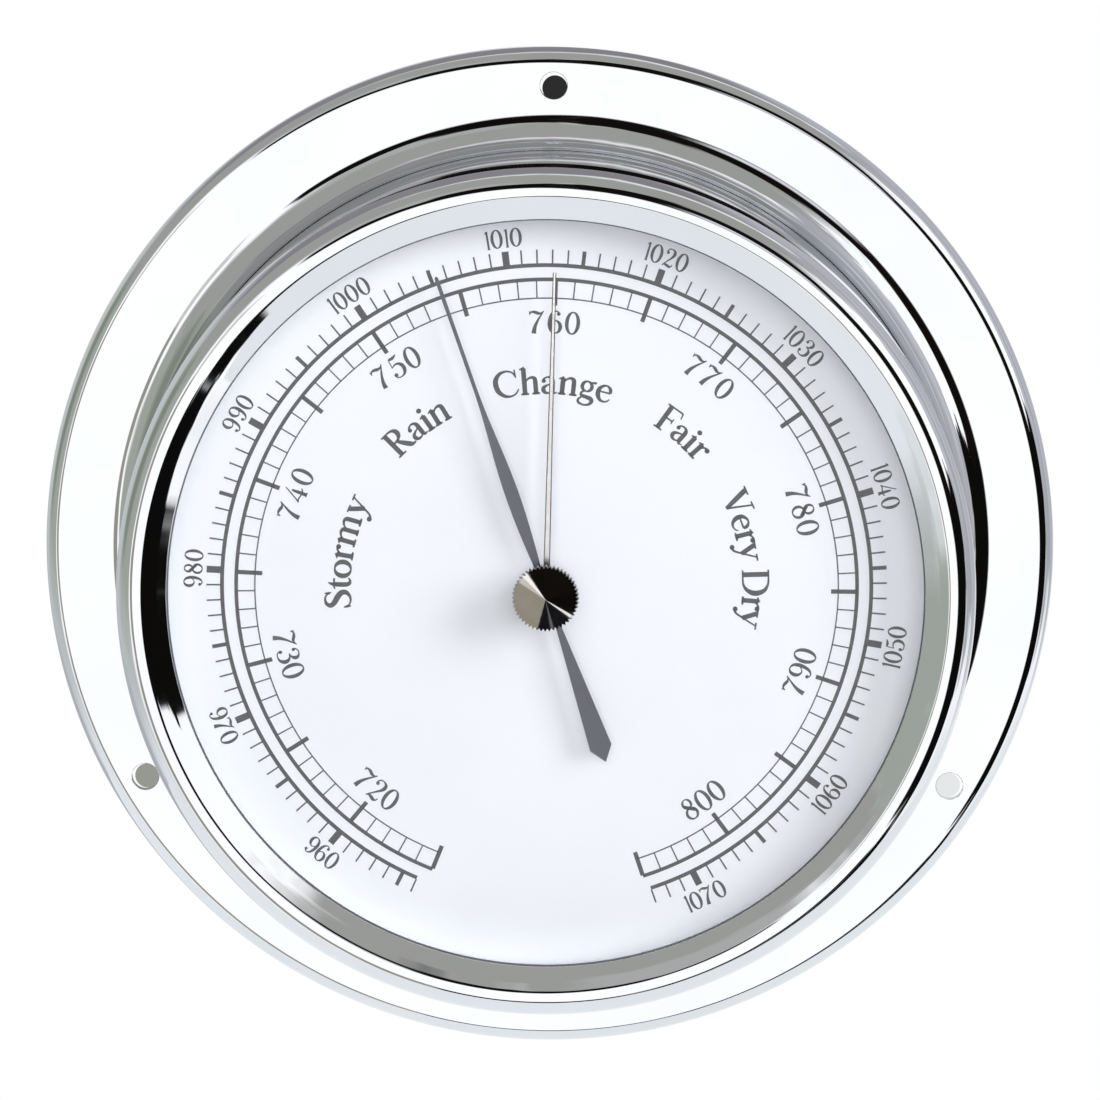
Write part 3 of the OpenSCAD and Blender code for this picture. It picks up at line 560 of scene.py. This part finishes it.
# ones, fives and tens are the ticks' widths; From and To, how far inside the rings' radii they start and end
scales = {
    "pascal": {"first": 954, "last": 1073, "ringR": 40.45, "ringWide": 0.48, "reach": 42.4,
               "ones": 0.2, "fives": 0.48, "tens": 0.85, "startInRing": 0.4},
    "mercury": {"first": 715, "last": 805, "outR": 38.68, "outWide": 0.46, "inR": 36.35, "inWide": 0.17,
                "reach": 35.45, "ones": 0.17, "fives": 0.54, "onesFrom": 0.05, "onesTo": 0.15,
                "fivesTo": 0.1},
}


def pascalAngle(value):
    return (value - dial["pascalAtTop"]) * dial["pascalStep"]


def mercuryAngle(value):
    return (value - dial["mercuryAtTop"]) * dial["mercuryStep"]


def buildScales():
    bm = bmesh.new()
    p = scales["pascal"]
    addArc(bm, pascalAngle(p["first"]), pascalAngle(p["last"]), p["ringR"], p["ringWide"])
    for value in range(p["first"], p["last"] + 1):
        wide = p["tens"] if value % 10 == 0 else p["fives"] if value % 5 == 0 else p["ones"]
        addTick(bm, pascalAngle(value), p["ringR"] + p["ringWide"] * p["startInRing"], p["reach"], wide)
    m = scales["mercury"]
    addArc(bm, mercuryAngle(m["first"]), mercuryAngle(m["last"]), m["outR"], m["outWide"])
    addArc(bm, mercuryAngle(m["first"]), mercuryAngle(m["last"]), m["inR"], m["inWide"])
    for value in range(m["first"], m["last"] + 1):
        if value % 5:
            addTick(bm, mercuryAngle(value), m["inR"] + m["onesFrom"], m["outR"] - m["onesTo"], m["ones"])
        else:
            addTick(bm, mercuryAngle(value), m["reach"], m["outR"] - m["fivesTo"], m["fives"])
    finishMesh("dialScales", bm, "ink", "root")


buildScales()
print("scales printed")

# Letter shapes: each stroke is a pen line of (x, y, width), in shares of the height of a figure
serif = 0.045


def oval(x, y, rx, ry, thick, thin, steps=28, swell=1.3):  # thick at its sides, thin above and below
    points = []
    for i in range(steps + 1):
        a = 2 * math.pi * i / steps
        points.append((x + rx * math.cos(a), y + ry * math.sin(a),
                       thin + (thick - thin) * abs(math.cos(a)) ** swell))
    return ("closed", points)


def dot(x, y, r):
    return ("closed", [(x + r / 2 * math.cos(a * math.pi / 6), y + r / 2 * math.sin(a * math.pi / 6), r)
                       for a in range(13)])


def bar(x0, x1, y, wide=serif):
    return ("line", [(x0, y, wide), (x1, y, wide)])


def stem(x, y0, y1, wide=0.12):
    return ("line", [(x, y0, wide), (x, y1, wide)])


def foot(x, reach=0.13, y=0.022):
    return ("curve", [(x - reach, y, serif), (x, y + 0.01, serif * 1.5), (x + reach, y, serif)])


def flag(x, y):  # slanted entry stroke at the top of a lower-case stem
    return ("line", [(x - 0.13, y - 0.085, 0.03), (x + 0.03, y - 0.02, 0.075)])


def pen(*points):
    return ("curve", list(points))


arch = [(0.0, 0.47, 0.04), (0.09, 0.585, 0.05), (0.2, 0.63, 0.07), (0.285, 0.59, 0.1), (0.31, 0.48, 0.115),
        (0.31, 0.02, 0.115)]


def arched(x):
    return ("curve", [(x + p[0], p[1], p[2]) for p in arch])


glyphs = {  # character: (width, strokes)
    "0": (0.62, [oval(0.31, 0.5, 0.25, 0.475, 0.125, 0.045)]),
    "1": (0.2, [stem(0.13, 0.01, 0.97, 0.085), pen((0.01, 0.86, 0.03), (0.07, 0.9, 0.04), (0.14, 0.97, 0.05)),
                bar(0.05, 0.21, 0.015, 0.03)]),
    "2": (0.6, [pen((0.11, 0.74, 0.05), (0.09, 0.84, 0.05), (0.17, 0.95, 0.045), (0.32, 0.975, 0.05),
                    (0.48, 0.89, 0.1), (0.51, 0.74, 0.125), (0.43, 0.56, 0.09), (0.26, 0.34, 0.055),
                    (0.11, 0.14, 0.045), (0.03, 0.02, 0.04)), dot(0.13, 0.75, 0.07),
                pen((0.03, 0.03, 0.04), (0.13, 0.11, 0.07), (0.27, 0.09, 0.11), (0.42, 0.045, 0.1),
                    (0.52, 0.09, 0.05), (0.56, 0.21, 0.03))]),
    "3": (0.62, [pen((0.09, 0.79, 0.05), (0.1, 0.88, 0.045), (0.19, 0.965, 0.04), (0.33, 0.975, 0.045),
                     (0.47, 0.88, 0.1), (0.475, 0.74, 0.12), (0.38, 0.61, 0.06), (0.24, 0.56, 0.035)),
                 pen((0.24, 0.56, 0.035), (0.42, 0.53, 0.06), (0.54, 0.41, 0.12), (0.55, 0.24, 0.13),
                     (0.45, 0.08, 0.085), (0.28, 0.022, 0.045), (0.12, 0.06, 0.045), (0.06, 0.17, 0.05)),
                 dot(0.11, 0.78, 0.065), dot(0.09, 0.2, 0.07)]),
    "4": (0.68, [pen((0.47, 0.99, 0.035), (0.3, 0.68, 0.045), (0.14, 0.4, 0.045), (0.03, 0.24, 0.05)),
                 pen((0.03, 0.25, 0.05), (0.16, 0.29, 0.05), (0.34, 0.25, 0.05), (0.52, 0.24, 0.055),
                     (0.65, 0.31, 0.035)),
                 pen((0.45, 0.7, 0.06), (0.445, 0.5, 0.1), (0.45, 0.25, 0.115), (0.45, 0.03, 0.12)),
                 bar(0.35, 0.56, 0.022, 0.04)]),
    "5": (0.62, [pen((0.15, 0.95, 0.05), (0.26, 0.92, 0.1), (0.4, 0.93, 0.09), (0.54, 0.99, 0.03)),
                 pen((0.16, 0.96, 0.035), (0.13, 0.75, 0.035), (0.11, 0.54, 0.035)),
                 pen((0.11, 0.54, 0.03), (0.24, 0.61, 0.05), (0.42, 0.59, 0.08), (0.54, 0.44, 0.12),
                     (0.54, 0.24, 0.125), (0.43, 0.07, 0.08), (0.26, 0.022, 0.045), (0.11, 0.06, 0.045),
                     (0.05, 0.17, 0.05)), dot(0.09, 0.2, 0.075)]),
    "6": (0.6, [pen((0.47, 0.87, 0.05), (0.40, 0.965, 0.045), (0.28, 0.97, 0.05), (0.15, 0.85, 0.09),
                    (0.075, 0.6, 0.12), (0.065, 0.35, 0.125), (0.14, 0.12, 0.09), (0.31, 0.022, 0.045),
                    (0.47, 0.1, 0.09), (0.535, 0.29, 0.125), (0.48, 0.47, 0.1), (0.33, 0.57, 0.045),
                    (0.18, 0.5, 0.04), (0.09, 0.38, 0.04)), dot(0.45, 0.86, 0.07)]),
    "7": (0.66, [pen((0.02, 0.99, 0.03), (0.025, 0.9, 0.035), (0.03, 0.82, 0.04)),
                 pen((0.03, 0.87, 0.04), (0.11, 0.95, 0.06), (0.25, 0.94, 0.1), (0.4, 0.88, 0.1),
                     (0.52, 0.89, 0.05), (0.64, 0.98, 0.03)),
                 pen((0.64, 0.985, 0.03), (0.5, 0.78, 0.055), (0.35, 0.54, 0.08), (0.23, 0.28, 0.12),
                     (0.17, 0.01, 0.16))]),
    "8": (0.62, [oval(0.31, 0.755, 0.185, 0.215, 0.085, 0.04), oval(0.31, 0.28, 0.235, 0.255, 0.095, 0.045),
                 pen((0.16, 0.72, 0.08), (0.27, 0.58, 0.12), (0.4, 0.47, 0.12), (0.5, 0.35, 0.1))]),
    "S": (0.6, [pen((0.5, 0.77, 0.04), (0.46, 0.89, 0.045), (0.34, 0.965, 0.055), (0.19, 0.93, 0.085),
                    (0.115, 0.78, 0.12), (0.2, 0.63, 0.14), (0.38, 0.49, 0.15), (0.5, 0.34, 0.14),
                    (0.5, 0.17, 0.12), (0.38, 0.045, 0.075), (0.23, 0.02, 0.05), (0.1, 0.1, 0.045),
                    (0.055, 0.25, 0.04)), pen((0.52, 0.72, 0.03), (0.515, 0.86, 0.04), (0.5, 0.97, 0.035)),
                pen((0.04, 0.29, 0.03), (0.05, 0.14, 0.04), (0.07, 0.02, 0.035))]),
    "t": (0.4, [pen((0.235, 0.84, 0.025), (0.19, 0.7, 0.08), (0.18, 0.55, 0.115), (0.18, 0.2, 0.12),
                    (0.22, 0.05, 0.095), (0.32, 0.03, 0.06), (0.39, 0.1, 0.03)),
                pen((0.03, 0.58, 0.03), (0.12, 0.615, 0.05), (0.37, 0.62, 0.05))]),
    "o": (0.58, [oval(0.29, 0.32, 0.22, 0.3, 0.125, 0.045)]),
    "r": (0.46, [stem(0.16, 0.02, 0.62), flag(0.16, 0.66), foot(0.17),
                 pen((0.18, 0.42, 0.035), (0.24, 0.55, 0.045), (0.32, 0.62, 0.05), (0.4, 0.61, 0.07)),
                 dot(0.4, 0.585, 0.075)]),
    "m": (1.02, [stem(0.16, 0.02, 0.62), flag(0.16, 0.66), foot(0.16), arched(0.19), foot(0.5, 0.1),
                 arched(0.53), foot(0.84)]),
    "n": (0.68, [stem(0.16, 0.02, 0.62), flag(0.16, 0.66), foot(0.16, 0.12), arched(0.19), foot(0.5, 0.12)]),
    "h": (0.68, [stem(0.16, 0.02, 0.99), flag(0.16, 1.03), foot(0.16, 0.12), arched(0.19), foot(0.5, 0.12)]),
    "i": (0.34, [stem(0.17, 0.02, 0.62), flag(0.17, 0.66), foot(0.17), dot(0.16, 0.86, 0.075)]),
    "y": (0.62, [pen((0.11, 0.61, 0.12), (0.2, 0.38, 0.12), (0.32, 0.08, 0.12)),
                 pen((0.5, 0.61, 0.04), (0.4, 0.34, 0.045), (0.28, 0.02, 0.05), (0.19, -0.18, 0.055),
                     (0.08, -0.25, 0.06)), bar(0.0, 0.24, 0.625), bar(0.4, 0.62, 0.625),
                 dot(0.07, -0.225, 0.075)]),
    "R": (0.8, [stem(0.18, 0.02, 0.98, 0.125), bar(0.04, 0.34, 0.022), bar(0.04, 0.36, 0.975),
                pen((0.3, 0.975, 0.045), (0.44, 0.94, 0.07), (0.53, 0.83, 0.115), (0.53, 0.68, 0.12),
                    (0.43, 0.55, 0.07), (0.2, 0.51, 0.045)),
                pen((0.34, 0.53, 0.07), (0.46, 0.32, 0.115), (0.6, 0.1, 0.125), (0.68, 0.035, 0.08),
                    (0.79, 0.025, 0.035))]),
    "a": (0.54, [pen((0.09, 0.47, 0.07), (0.1, 0.56, 0.05), (0.2, 0.625, 0.045), (0.31, 0.6, 0.07),
                     (0.365, 0.5, 0.11), (0.37, 0.35, 0.115), (0.37, 0.13, 0.115), (0.42, 0.035, 0.06),
                     (0.51, 0.07, 0.025)),
                 pen((0.36, 0.385, 0.035), (0.22, 0.33, 0.05), (0.1, 0.235, 0.09), (0.095, 0.12, 0.11),
                     (0.17, 0.035, 0.07), (0.28, 0.05, 0.045), (0.36, 0.13, 0.035)), dot(0.095, 0.48, 0.06)]),
    "C": (0.82, [pen((0.73, 0.72, 0.035), (0.67, 0.87, 0.045), (0.5, 0.965, 0.05), (0.28, 0.92, 0.085),
                     (0.125, 0.72, 0.125), (0.1, 0.48, 0.135), (0.16, 0.24, 0.12), (0.33, 0.055, 0.08),
                     (0.53, 0.022, 0.05), (0.68, 0.1, 0.045), (0.77, 0.24, 0.035)),
                 pen((0.745, 0.66, 0.03), (0.74, 0.84, 0.045), (0.74, 0.98, 0.035))]),
    "g": (0.56, [oval(0.25, 0.43, 0.15, 0.185, 0.095, 0.045), pen((0.36, 0.56, 0.05), (0.45, 0.61, 0.055),
                                                                 (0.52, 0.59, 0.07)),
                 pen((0.19, 0.25, 0.04), (0.11, 0.17, 0.06), (0.13, 0.07, 0.085), (0.28, 0.035, 0.1),
                     (0.42, 0.0, 0.11), (0.47, -0.1, 0.1), (0.4, -0.22, 0.065), (0.25, -0.27, 0.05),
                     (0.09, -0.22, 0.065), (0.05, -0.11, 0.06), (0.13, 0.0, 0.04), (0.2, 0.04, 0.035))]),
    "e": (0.54, [pen((0.1, 0.36, 0.04), (0.28, 0.37, 0.045), (0.455, 0.375, 0.05)),
                 pen((0.455, 0.37, 0.07), (0.43, 0.52, 0.09), (0.32, 0.62, 0.05), (0.18, 0.58, 0.07),
                     (0.085, 0.42, 0.11), (0.095, 0.22, 0.12), (0.19, 0.06, 0.08), (0.32, 0.022, 0.05),
                     (0.42, 0.07, 0.04), (0.48, 0.16, 0.03))]),
    "F": (0.64, [stem(0.18, 0.02, 0.98, 0.125), bar(0.04, 0.33, 0.022), bar(0.04, 0.59, 0.975),
                 pen((0.59, 0.98, 0.05), (0.61, 0.88, 0.04), (0.63, 0.76, 0.03)), bar(0.2, 0.45, 0.51),
                 pen((0.46, 0.4, 0.03), (0.45, 0.51, 0.04), (0.46, 0.62, 0.03))]),
    "V": (0.78, [pen((0.13, 0.96, 0.13), (0.26, 0.55, 0.13), (0.42, 0.04, 0.1)),
                 pen((0.65, 0.96, 0.045), (0.54, 0.52, 0.05), (0.42, 0.03, 0.055)),
                 bar(0.0, 0.3, 0.975), bar(0.53, 0.78, 0.975)]),
    "D": (0.88, [stem(0.18, 0.02, 0.98, 0.125), bar(0.04, 0.36, 0.022), bar(0.04, 0.36, 0.975),
                 pen((0.3, 0.975, 0.045), (0.5, 0.95, 0.06), (0.68, 0.82, 0.1), (0.765, 0.58, 0.135),
                     (0.75, 0.35, 0.13), (0.64, 0.14, 0.09), (0.48, 0.035, 0.055), (0.3, 0.022, 0.045))]),
    " ": (0.3, []),
}
six = glyphs["6"]  # turned round, it is the nine
glyphs["9"] = (six[0], [(kind, [(six[0] - x, 1 - y, w) for x, y, w in points]) for kind, points in six[1]])


def between(a, b, c, d, t):  # cubic spline from b to c, for one number
    return 0.5 * (2 * b + (c - a) * t + (2 * a - 5 * b + 4 * c - d) * t * t
                  + (3 * b - a - 3 * c + d) * t ** 3)


def smoothed(points, perSpan=5):  # a smooth line through the points, in x, y and width
    out = []
    for i in range(len(points) - 1):
        a = points[max(i - 1, 0)]
        b, c = points[i], points[i + 1]
        d = points[min(i + 2, len(points) - 1)]
        for k in range(perSpan):
            out.append(tuple(between(*values, k / perSpan) for values in zip(a, b, c, d)))
    out.append(tuple(points[-1]))
    return out


def addStroke(bm, kind, points, place):
    line = smoothed(points) if kind == "curve" and len(points) > 2 else points
    closed = kind == "closed"
    if closed:
        line = line[:-1]
    rows = []
    count = len(line)
    for i in range(count):
        x, y, w = line[i]
        before = line[i - 1] if closed or i else line[i]
        after = line[(i + 1) % count] if closed or i < count - 1 else line[i]
        run = Vector((after[0] - before[0], after[1] - before[1])).normalized()
        side = Vector((-run.y, run.x)) * w / 2
        rows.append([bm.verts.new(dialPoint(*place(x + s * side.x, y + s * side.y), high))
                     for s, high in inkSides])
    skinRings(bm, rows, closed)


def addText(bm, text, middle, baseR, style, flipped=False, sweep=None):
    # the text stands on a circle of radius baseR, heads out or, when flipped, in; sweep is the angle it fills
    height, wide, weight = style["high"], style["wide"], style["weight"]
    widths = [glyphs[c][0] * height * wide for c in text]
    if sweep:
        gap = (math.radians(sweep) * baseR - sum(widths)) / (len(text) - 1)
    else:
        gap = style["gap"] * height
    total = sum(widths) + gap * (len(text) - 1)
    at = -total / 2
    turn = -1 if flipped else 1
    for character, space in zip(text, widths):
        angle = middle + turn * math.degrees((at + space / 2) / baseR)

        def place(x, y):
            return onDial(angle, baseR + turn * y * height, turn * (x * height - space / 2))

        for kind, points in glyphs[character][1]:
            addStroke(bm, kind, [(x * wide, y, w * weight) for x, y, w in points], place)
        at += space + gap


outerNumbers = {"baseR": 42.9, "high": 2.35, "wide": 0.96, "weight": 1.3, "gap": 0.1}
innerNumbers = {"baseR": 31.95, "high": 2.85, "wide": 1.0, "weight": 1.3, "gap": 0.12}
# each word with the angle of its middle and the angle that it covers
words = {"baseR": 24.4, "high": 3.35, "wide": 1.2, "weight": 1.45,
         "list": [("Stormy", -81.5, 32.8), ("Rain", -40, 20.6), ("Change", 0.2, 33.8), ("Fair", 39.4, 17.3),
                  ("Very Dry", 80, 39.8)]}


def printNumbers():
    bm = bmesh.new()
    for style, values, angleOf in ((outerNumbers, range(960, 1071, 10), pascalAngle),
                                   (innerNumbers, range(720, 801, 10), mercuryAngle)):
        for value in values:
            flipped = abs(angleOf(value)) > dial["flipPast"]
            base = style["baseR"] + (style["high"] if flipped else 0)
            addText(bm, str(value), angleOf(value), base, style, flipped)
    finishMesh("dialNumbers", bm, "ink", "root")
    bm = bmesh.new()
    for text, angle, sweep in words["list"]:
        addText(bm, text, angle, words["baseR"], words, False, sweep)
    finishMesh("dialWords", bm, "ink", "root")


printNumbers()
print("numbers and words printed")

# Studio: pale floor well below the wall-hung part, soft lamps, and a world that chrome can mirror
camera = {"azimuth": 0.69, "elevation": 9.71, "roll": 0.54, "distance": 781.6, "lens": 198.6, "sensor": 36,
          "aim": (0.09, 0.32, 3.4), "near": 10, "far": 50000}


def buildCamera():
    data = bpy.data.cameras.new("camera")
    data.lens = camera["lens"]
    data.sensor_width = camera["sensor"]
    data.clip_start = camera["near"] * mm
    data.clip_end = camera["far"] * mm
    view = bpy.data.objects.new("camera", data)
    scene.collection.objects.link(view)
    az, el = math.radians(camera["azimuth"]), math.radians(camera["elevation"])
    aim = placeOnWall(*camera["aim"])
    out = Vector((math.sin(az) * math.cos(el), -math.cos(az) * math.cos(el), math.sin(el)))
    look = (-out).to_track_quat("-Z", "Y").to_matrix().to_4x4()
    view.matrix_world = Matrix.Translation(aim + out * camera["distance"] * mm) @ look @ Matrix.Rotation(
        math.radians(camera["roll"]), 4, "Z")
    scene.camera = view


buildCamera()

floor = {"drop": 640, "r": 900, "sides": 96, "hex": "#E9EAEC", "glow": 0.35,
         "mirrored": "#E1E4E6", "bright": 1.42}


def buildFloor():
    bm = bmesh.new()
    bmesh.ops.create_circle(bm, cap_ends=True, segments=floor["sides"], radius=floor["r"] * mm)
    piece = linkMesh("floor", bm)
    piece.location = (0, 0, -floor["drop"] * mm)
    material, tree = newMaterial("paleFloor")
    path = addNode(tree, "ShaderNodeLightPath")
    paint = addNode(tree, "ShaderNodeBsdfDiffuse", None, {"Color": linearColour(floor["hex"])})
    glow = addNode(tree, "ShaderNodeEmission", None, {"Color": grey(1.0), "Strength": floor["glow"]})
    lit = addNode(tree, "ShaderNodeAddShader", None, {0: paint.outputs[0], 1: glow.outputs[0]})
    mirrored = addNode(tree, "ShaderNodeEmission", None,
                       {"Color": linearColour(floor["mirrored"]), "Strength": floor["bright"]})
    seen = addNode(tree, "ShaderNodeMath", {"operation": "MAXIMUM"},
                   {0: path.outputs["Is Camera Ray"], 1: path.outputs["Is Transmission Ray"]})
    direct = addNode(tree, "ShaderNodeMixShader", None,
                     {"Fac": seen.outputs[0], 1: paint.outputs[0], 2: lit.outputs[0]})
    mixed = addNode(tree, "ShaderNodeMixShader", None,
                    {"Fac": path.outputs["Is Glossy Ray"], 1: direct.outputs[0], 2: mirrored.outputs[0]})
    addNode(tree, "ShaderNodeOutputMaterial", None, {"Surface": mixed.outputs[0]})
    piece.data.materials.append(material)


buildFloor()

# What chrome mirrors. The white studio is broken by grey walls and black cloth, with a softbox at the upper
# right. Off is in degrees from the mirrored view of a flat front, clock in degrees clockwise from the top. A
# patch runs between two clock directions, with the softness of those two ends as third number, and "from" and
# "to" give its nearest and furthest off there. Edges get ragged over the raggedFrom span of off, so that flat
# fronts mirror a smooth middle. Nearly all of the noise lies in noiseSpan.
room = {
    "axis": (-0.012, -0.986, -0.169), "up": (0, -0.169, 0.986), "bright": 1.42, "ambient": 0.62,
    "ragged": 6, "raggedSize": 0.22, "raggedFrom": (8, 30), "noiseSpan": (0.25, 0.75),
}
room["patches"] = {
    "table": {"tone": "#E0E3E5", "clock": (112, 252, 12), "from": (52, 200), "to": (26, 200), "soft": 9},
    "tableShade": {"tone": "#A9ABAF", "clock": (196, 262, 16),
                   "from": (98, 200), "to": (84, 200), "soft": 16},
    "tableLit": {"tone": "#FFFFFF", "clock": (126, 158, 9), "from": (36, 88), "to": (32, 70), "soft": 14},
    "leftWall": {"tone": "#B9BDBC", "clock": (244, 338, 8), "from": (38, 200), "to": (33, 200), "soft": 6},
    "leftDoor": {"tone": "#9CA198", "clock": (258, 299, 7), "from": (35, 104), "to": (34, 100), "soft": 4},
    "doorFoot": {"tone": "#7D8379", "clock": (268, 296, 6), "from": (72, 98), "to": (62, 92), "soft": 10},
    "ceiling": {"tone": "#999995", "clock": (296, 408, 2), "from": (37, 98), "to": (33, 84), "soft": 4},
    "ceilingLit": {"tone": "#A7A7A5", "clock": (318, 352, 5), "from": (33, 46), "to": (33, 44), "soft": 4},
    "ceilingFar": {"tone": "#827F82", "clock": (300, 410, 10), "from": (96, 200), "to": (94, 200), "soft": 8},
    "rightWall": {"tone": "#A3A4A8", "clock": (40, 106, 4), "from": (60, 100), "to": (56, 102), "soft": 5},
    "rightWallLit": {"tone": "#BDBEC4", "clock": (48, 84, 9), "from": (66, 84), "to": (66, 80), "soft": 8},
    "rightFar": {"tone": "#AEAFB5", "clock": (30, 118, 8), "from": (102, 200), "to": (98, 200), "soft": 7},
    "greyScreen": {"tone": "#928F84", "clock": (196, 299, 1), "from": (14, 27), "to": (15, 27), "soft": 1.5},
    "greyScreenEdge": {"tone": "#C9C4C1", "clock": (299, 314, 1),
                       "from": (14, 25), "to": (14, 25), "soft": 1.5},
    "darkShelf": {"tone": "#141418", "clock": (133, 196, 1), "from": (16, 25), "to": (17, 25), "soft": 1},
    "shelfGlint": {"tone": "#6A6A6D", "clock": (168, 173, 2), "from": (18, 25), "to": (18, 25), "soft": 1},
    "clothAbove": {"tone": "#0F0C0B", "clock": (323, 361, 1.5), "from": (18, 31), "to": (7, 36), "soft": 2},
    "clothBehindLamp": {"tone": "#110E0C", "clock": (359, 440, 2), "from": (7, 34), "to": (7, 44), "soft": 2},
    "clothBeside": {"tone": "#0C0B0A", "clock": (77, 107, 1), "from": (7, 59), "to": (7, 54), "soft": 2},
    "clothBelow": {"tone": "#0B0B0B", "clock": (105, 127, 1), "from": (7, 50), "to": (10, 43), "soft": 2},
    "clothTail": {"tone": "#0B0B0B", "clock": (127, 168, 1), "from": (25, 44), "to": (25, 27), "soft": 1.5},
    "gapInCloth": {"tone": "#D5D5DA", "clock": (17, 40, 4), "from": (9, 17), "to": (8, 15), "soft": 2},
    "lampLeft": {"tone": "#FFFFFF", "clock": (40, 51, 7), "from": (30, 58), "to": (27, 69), "soft": 1.5},
    "lampRight": {"tone": "#FFFFFF", "clock": (49, 77, 1), "from": (27, 69), "to": (37, 60), "soft": 1.5},
}


def buildWorld():
    world = bpy.data.worlds.new("studio")
    scene.world = world
    world.use_nodes = True
    tree = world.node_tree
    tree.nodes.clear()

    def calc(operation, first, second=0.0, third=0.0):
        node = addNode(tree, "ShaderNodeMath", {"operation": operation}, {0: first, 1: second, 2: third})
        return node.outputs[0]

    def along(direction):
        return addNode(tree, "ShaderNodeVectorMath", {"operation": "DOT_PRODUCT"},
                       {0: way, 1: direction}).outputs["Value"]

    def remap(value, fromLow, fromHigh, toLow, toHigh, kind="SMOOTHSTEP"):
        return addNode(tree, "ShaderNodeMapRange", {"interpolation_type": kind},
                       {"Value": value, "From Min": fromLow, "From Max": fromHigh,
                        "To Min": toLow, "To Max": toHigh}).outputs["Result"]

    def blend(factor, first, second):
        mix = addNode(tree, "ShaderNodeMix", {"data_type": "RGBA"}, {"Factor": factor})
        for socket, colour in ((6, first), (7, second)):  # the colour sockets among the node's many
            if isinstance(colour, bpy.types.NodeSocket):
                tree.links.new(colour, mix.inputs[socket])
            else:
                mix.inputs[socket].default_value = colour
        return mix.outputs[2]

    way = addNode(tree, "ShaderNodeTexCoord").outputs["Generated"]
    noise = addNode(tree, "ShaderNodeTexNoise", None,
                    {"Vector": way, "Scale": 1 / room["raggedSize"], "Detail": 3.0, "Roughness": 0.6})
    split = addNode(tree, "ShaderNodeSeparateColor", None, {"Color": noise.outputs["Color"]})
    degrees = 180 / math.pi
    off = calc("MULTIPLY", calc("ARCCOSINE", along(room["axis"])), degrees)
    ragged = remap(off, *room["raggedFrom"], 0, room["ragged"])
    off = calc("MULTIPLY_ADD", ragged, remap(split.outputs[0], *room["noiseSpan"], -1, 1, "LINEAR"), off)
    clock = calc("MULTIPLY", calc("ARCTAN2", along((1, 0, 0)), along(room["up"])), degrees)
    clock = calc("MULTIPLY_ADD", ragged, remap(split.outputs[1], *room["noiseSpan"], -1, 1, "LINEAR"), clock)
    colour = grey(1.0)
    for patch in room["patches"].values():
        start, end, soft = patch["clock"]
        half = (end - start) / 2
        turned = calc("WRAP", calc("SUBTRACT", clock, start + half), 180, -180)
        low = remap(turned, -half, half, patch["from"][0], patch["to"][0], "LINEAR")
        high = remap(turned, -half, half, patch["from"][1], patch["to"][1], "LINEAR")
        reach = patch["soft"]
        mask = calc("MULTIPLY", remap(calc("SUBTRACT", off, low), -reach, reach, 0, 1),
                    remap(calc("SUBTRACT", high, off), -reach, reach, 0, 1))
        sides = remap(calc("ABSOLUTE", turned), half - soft, half + soft, 1, 0)
        colour = blend(calc("MULTIPLY", mask, sides), colour, linearColour(patch["tone"]))
    path = addNode(tree, "ShaderNodeLightPath")
    background = calc("MAXIMUM", path.outputs["Is Camera Ray"], path.outputs["Is Transmission Ray"])
    strength = remap(path.outputs["Is Diffuse Ray"], 0, 1, room["bright"], room["ambient"], "LINEAR")
    strength = remap(background, 0, 1, strength, 1.0, "LINEAR")
    back = addNode(tree, "ShaderNodeBackground", None,
                   {"Color": blend(background, colour, grey(1.0)), "Strength": strength})
    addNode(tree, "ShaderNodeOutputWorld", None, {"Surface": back.outputs[0]})


buildWorld()

# Glowing cards close behind the flange, painted shade and light: what shows through its three screw holes,
# dark shade at the top hole, grey and pale at the lower two, with a pale sliver left beside each card. They
# have no back, so no side shows them.
holeCards = {"r": 1.62, "sides": 48, "behind": 0.3, "down": 0.62, "list": {
    90: {"tone": "#2E2D2E", "right": 0.12}, 210: {"tone": "#969992", "right": 0.0},
    330: {"tone": "#E4E8E8", "right": -0.05}}}


def buildHoleCards():
    for angle, look in holeCards["list"].items():
        x, y = holeAt(angle)
        bm = bmesh.new()
        bmesh.ops.create_circle(bm, cap_ends=True, segments=holeCards["sides"], radius=holeCards["r"] * mm,
                                matrix=Matrix.Rotation(math.radians(90), 4, "X"))
        card = linkMesh("holeCard%d" % angle, bm)
        card.location = placeOnWall(x + look["right"], y - holeCards["down"], -holeCards["behind"])
        material, tree = newMaterial("holeCard%d" % angle)
        face = addNode(tree, "ShaderNodeNewGeometry")
        # the glow stands in for the wall behind: painted shade where dark, painted light where pale
        paintedShadeAndLight = addNode(tree, "ShaderNodeEmission", None, {"Color": linearColour(look["tone"])})
        clear = addNode(tree, "ShaderNodeBsdfTransparent")
        mixed = addNode(tree, "ShaderNodeMixShader", None,
                        {"Fac": face.outputs["Backfacing"], 1: paintedShadeAndLight.outputs[0], 2: clear.outputs[0]})
        addNode(tree, "ShaderNodeOutputMaterial", None, {"Surface": mixed.outputs[0]})
        card.data.materials.append(material)


buildHoleCards()

lamps = {
    "frontLamp": {"at": (60, 285, 1100), "size": 700, "watts": 6.2},
    "keyLamp": {"at": (700, 320, 620), "size": 480, "watts": 4.8},
    "backLamp": {"at": (120, 500, -500), "size": 500, "watts": 4.0},
}


def buildLamps():
    for name, lamp in lamps.items():
        data = bpy.data.lights.new(name, "AREA")
        data.size = lamp["size"] * mm
        data.energy = lamp["watts"]
        light = bpy.data.objects.new(name, data)
        light.location = placeOnWall(*lamp["at"])
        light.rotation_euler = (-light.location).to_track_quat("-Z", "Y").to_euler()
        light.visible_glossy = False
        light.visible_camera = False
        scene.collection.objects.link(light)


buildLamps()
print("studio ready")
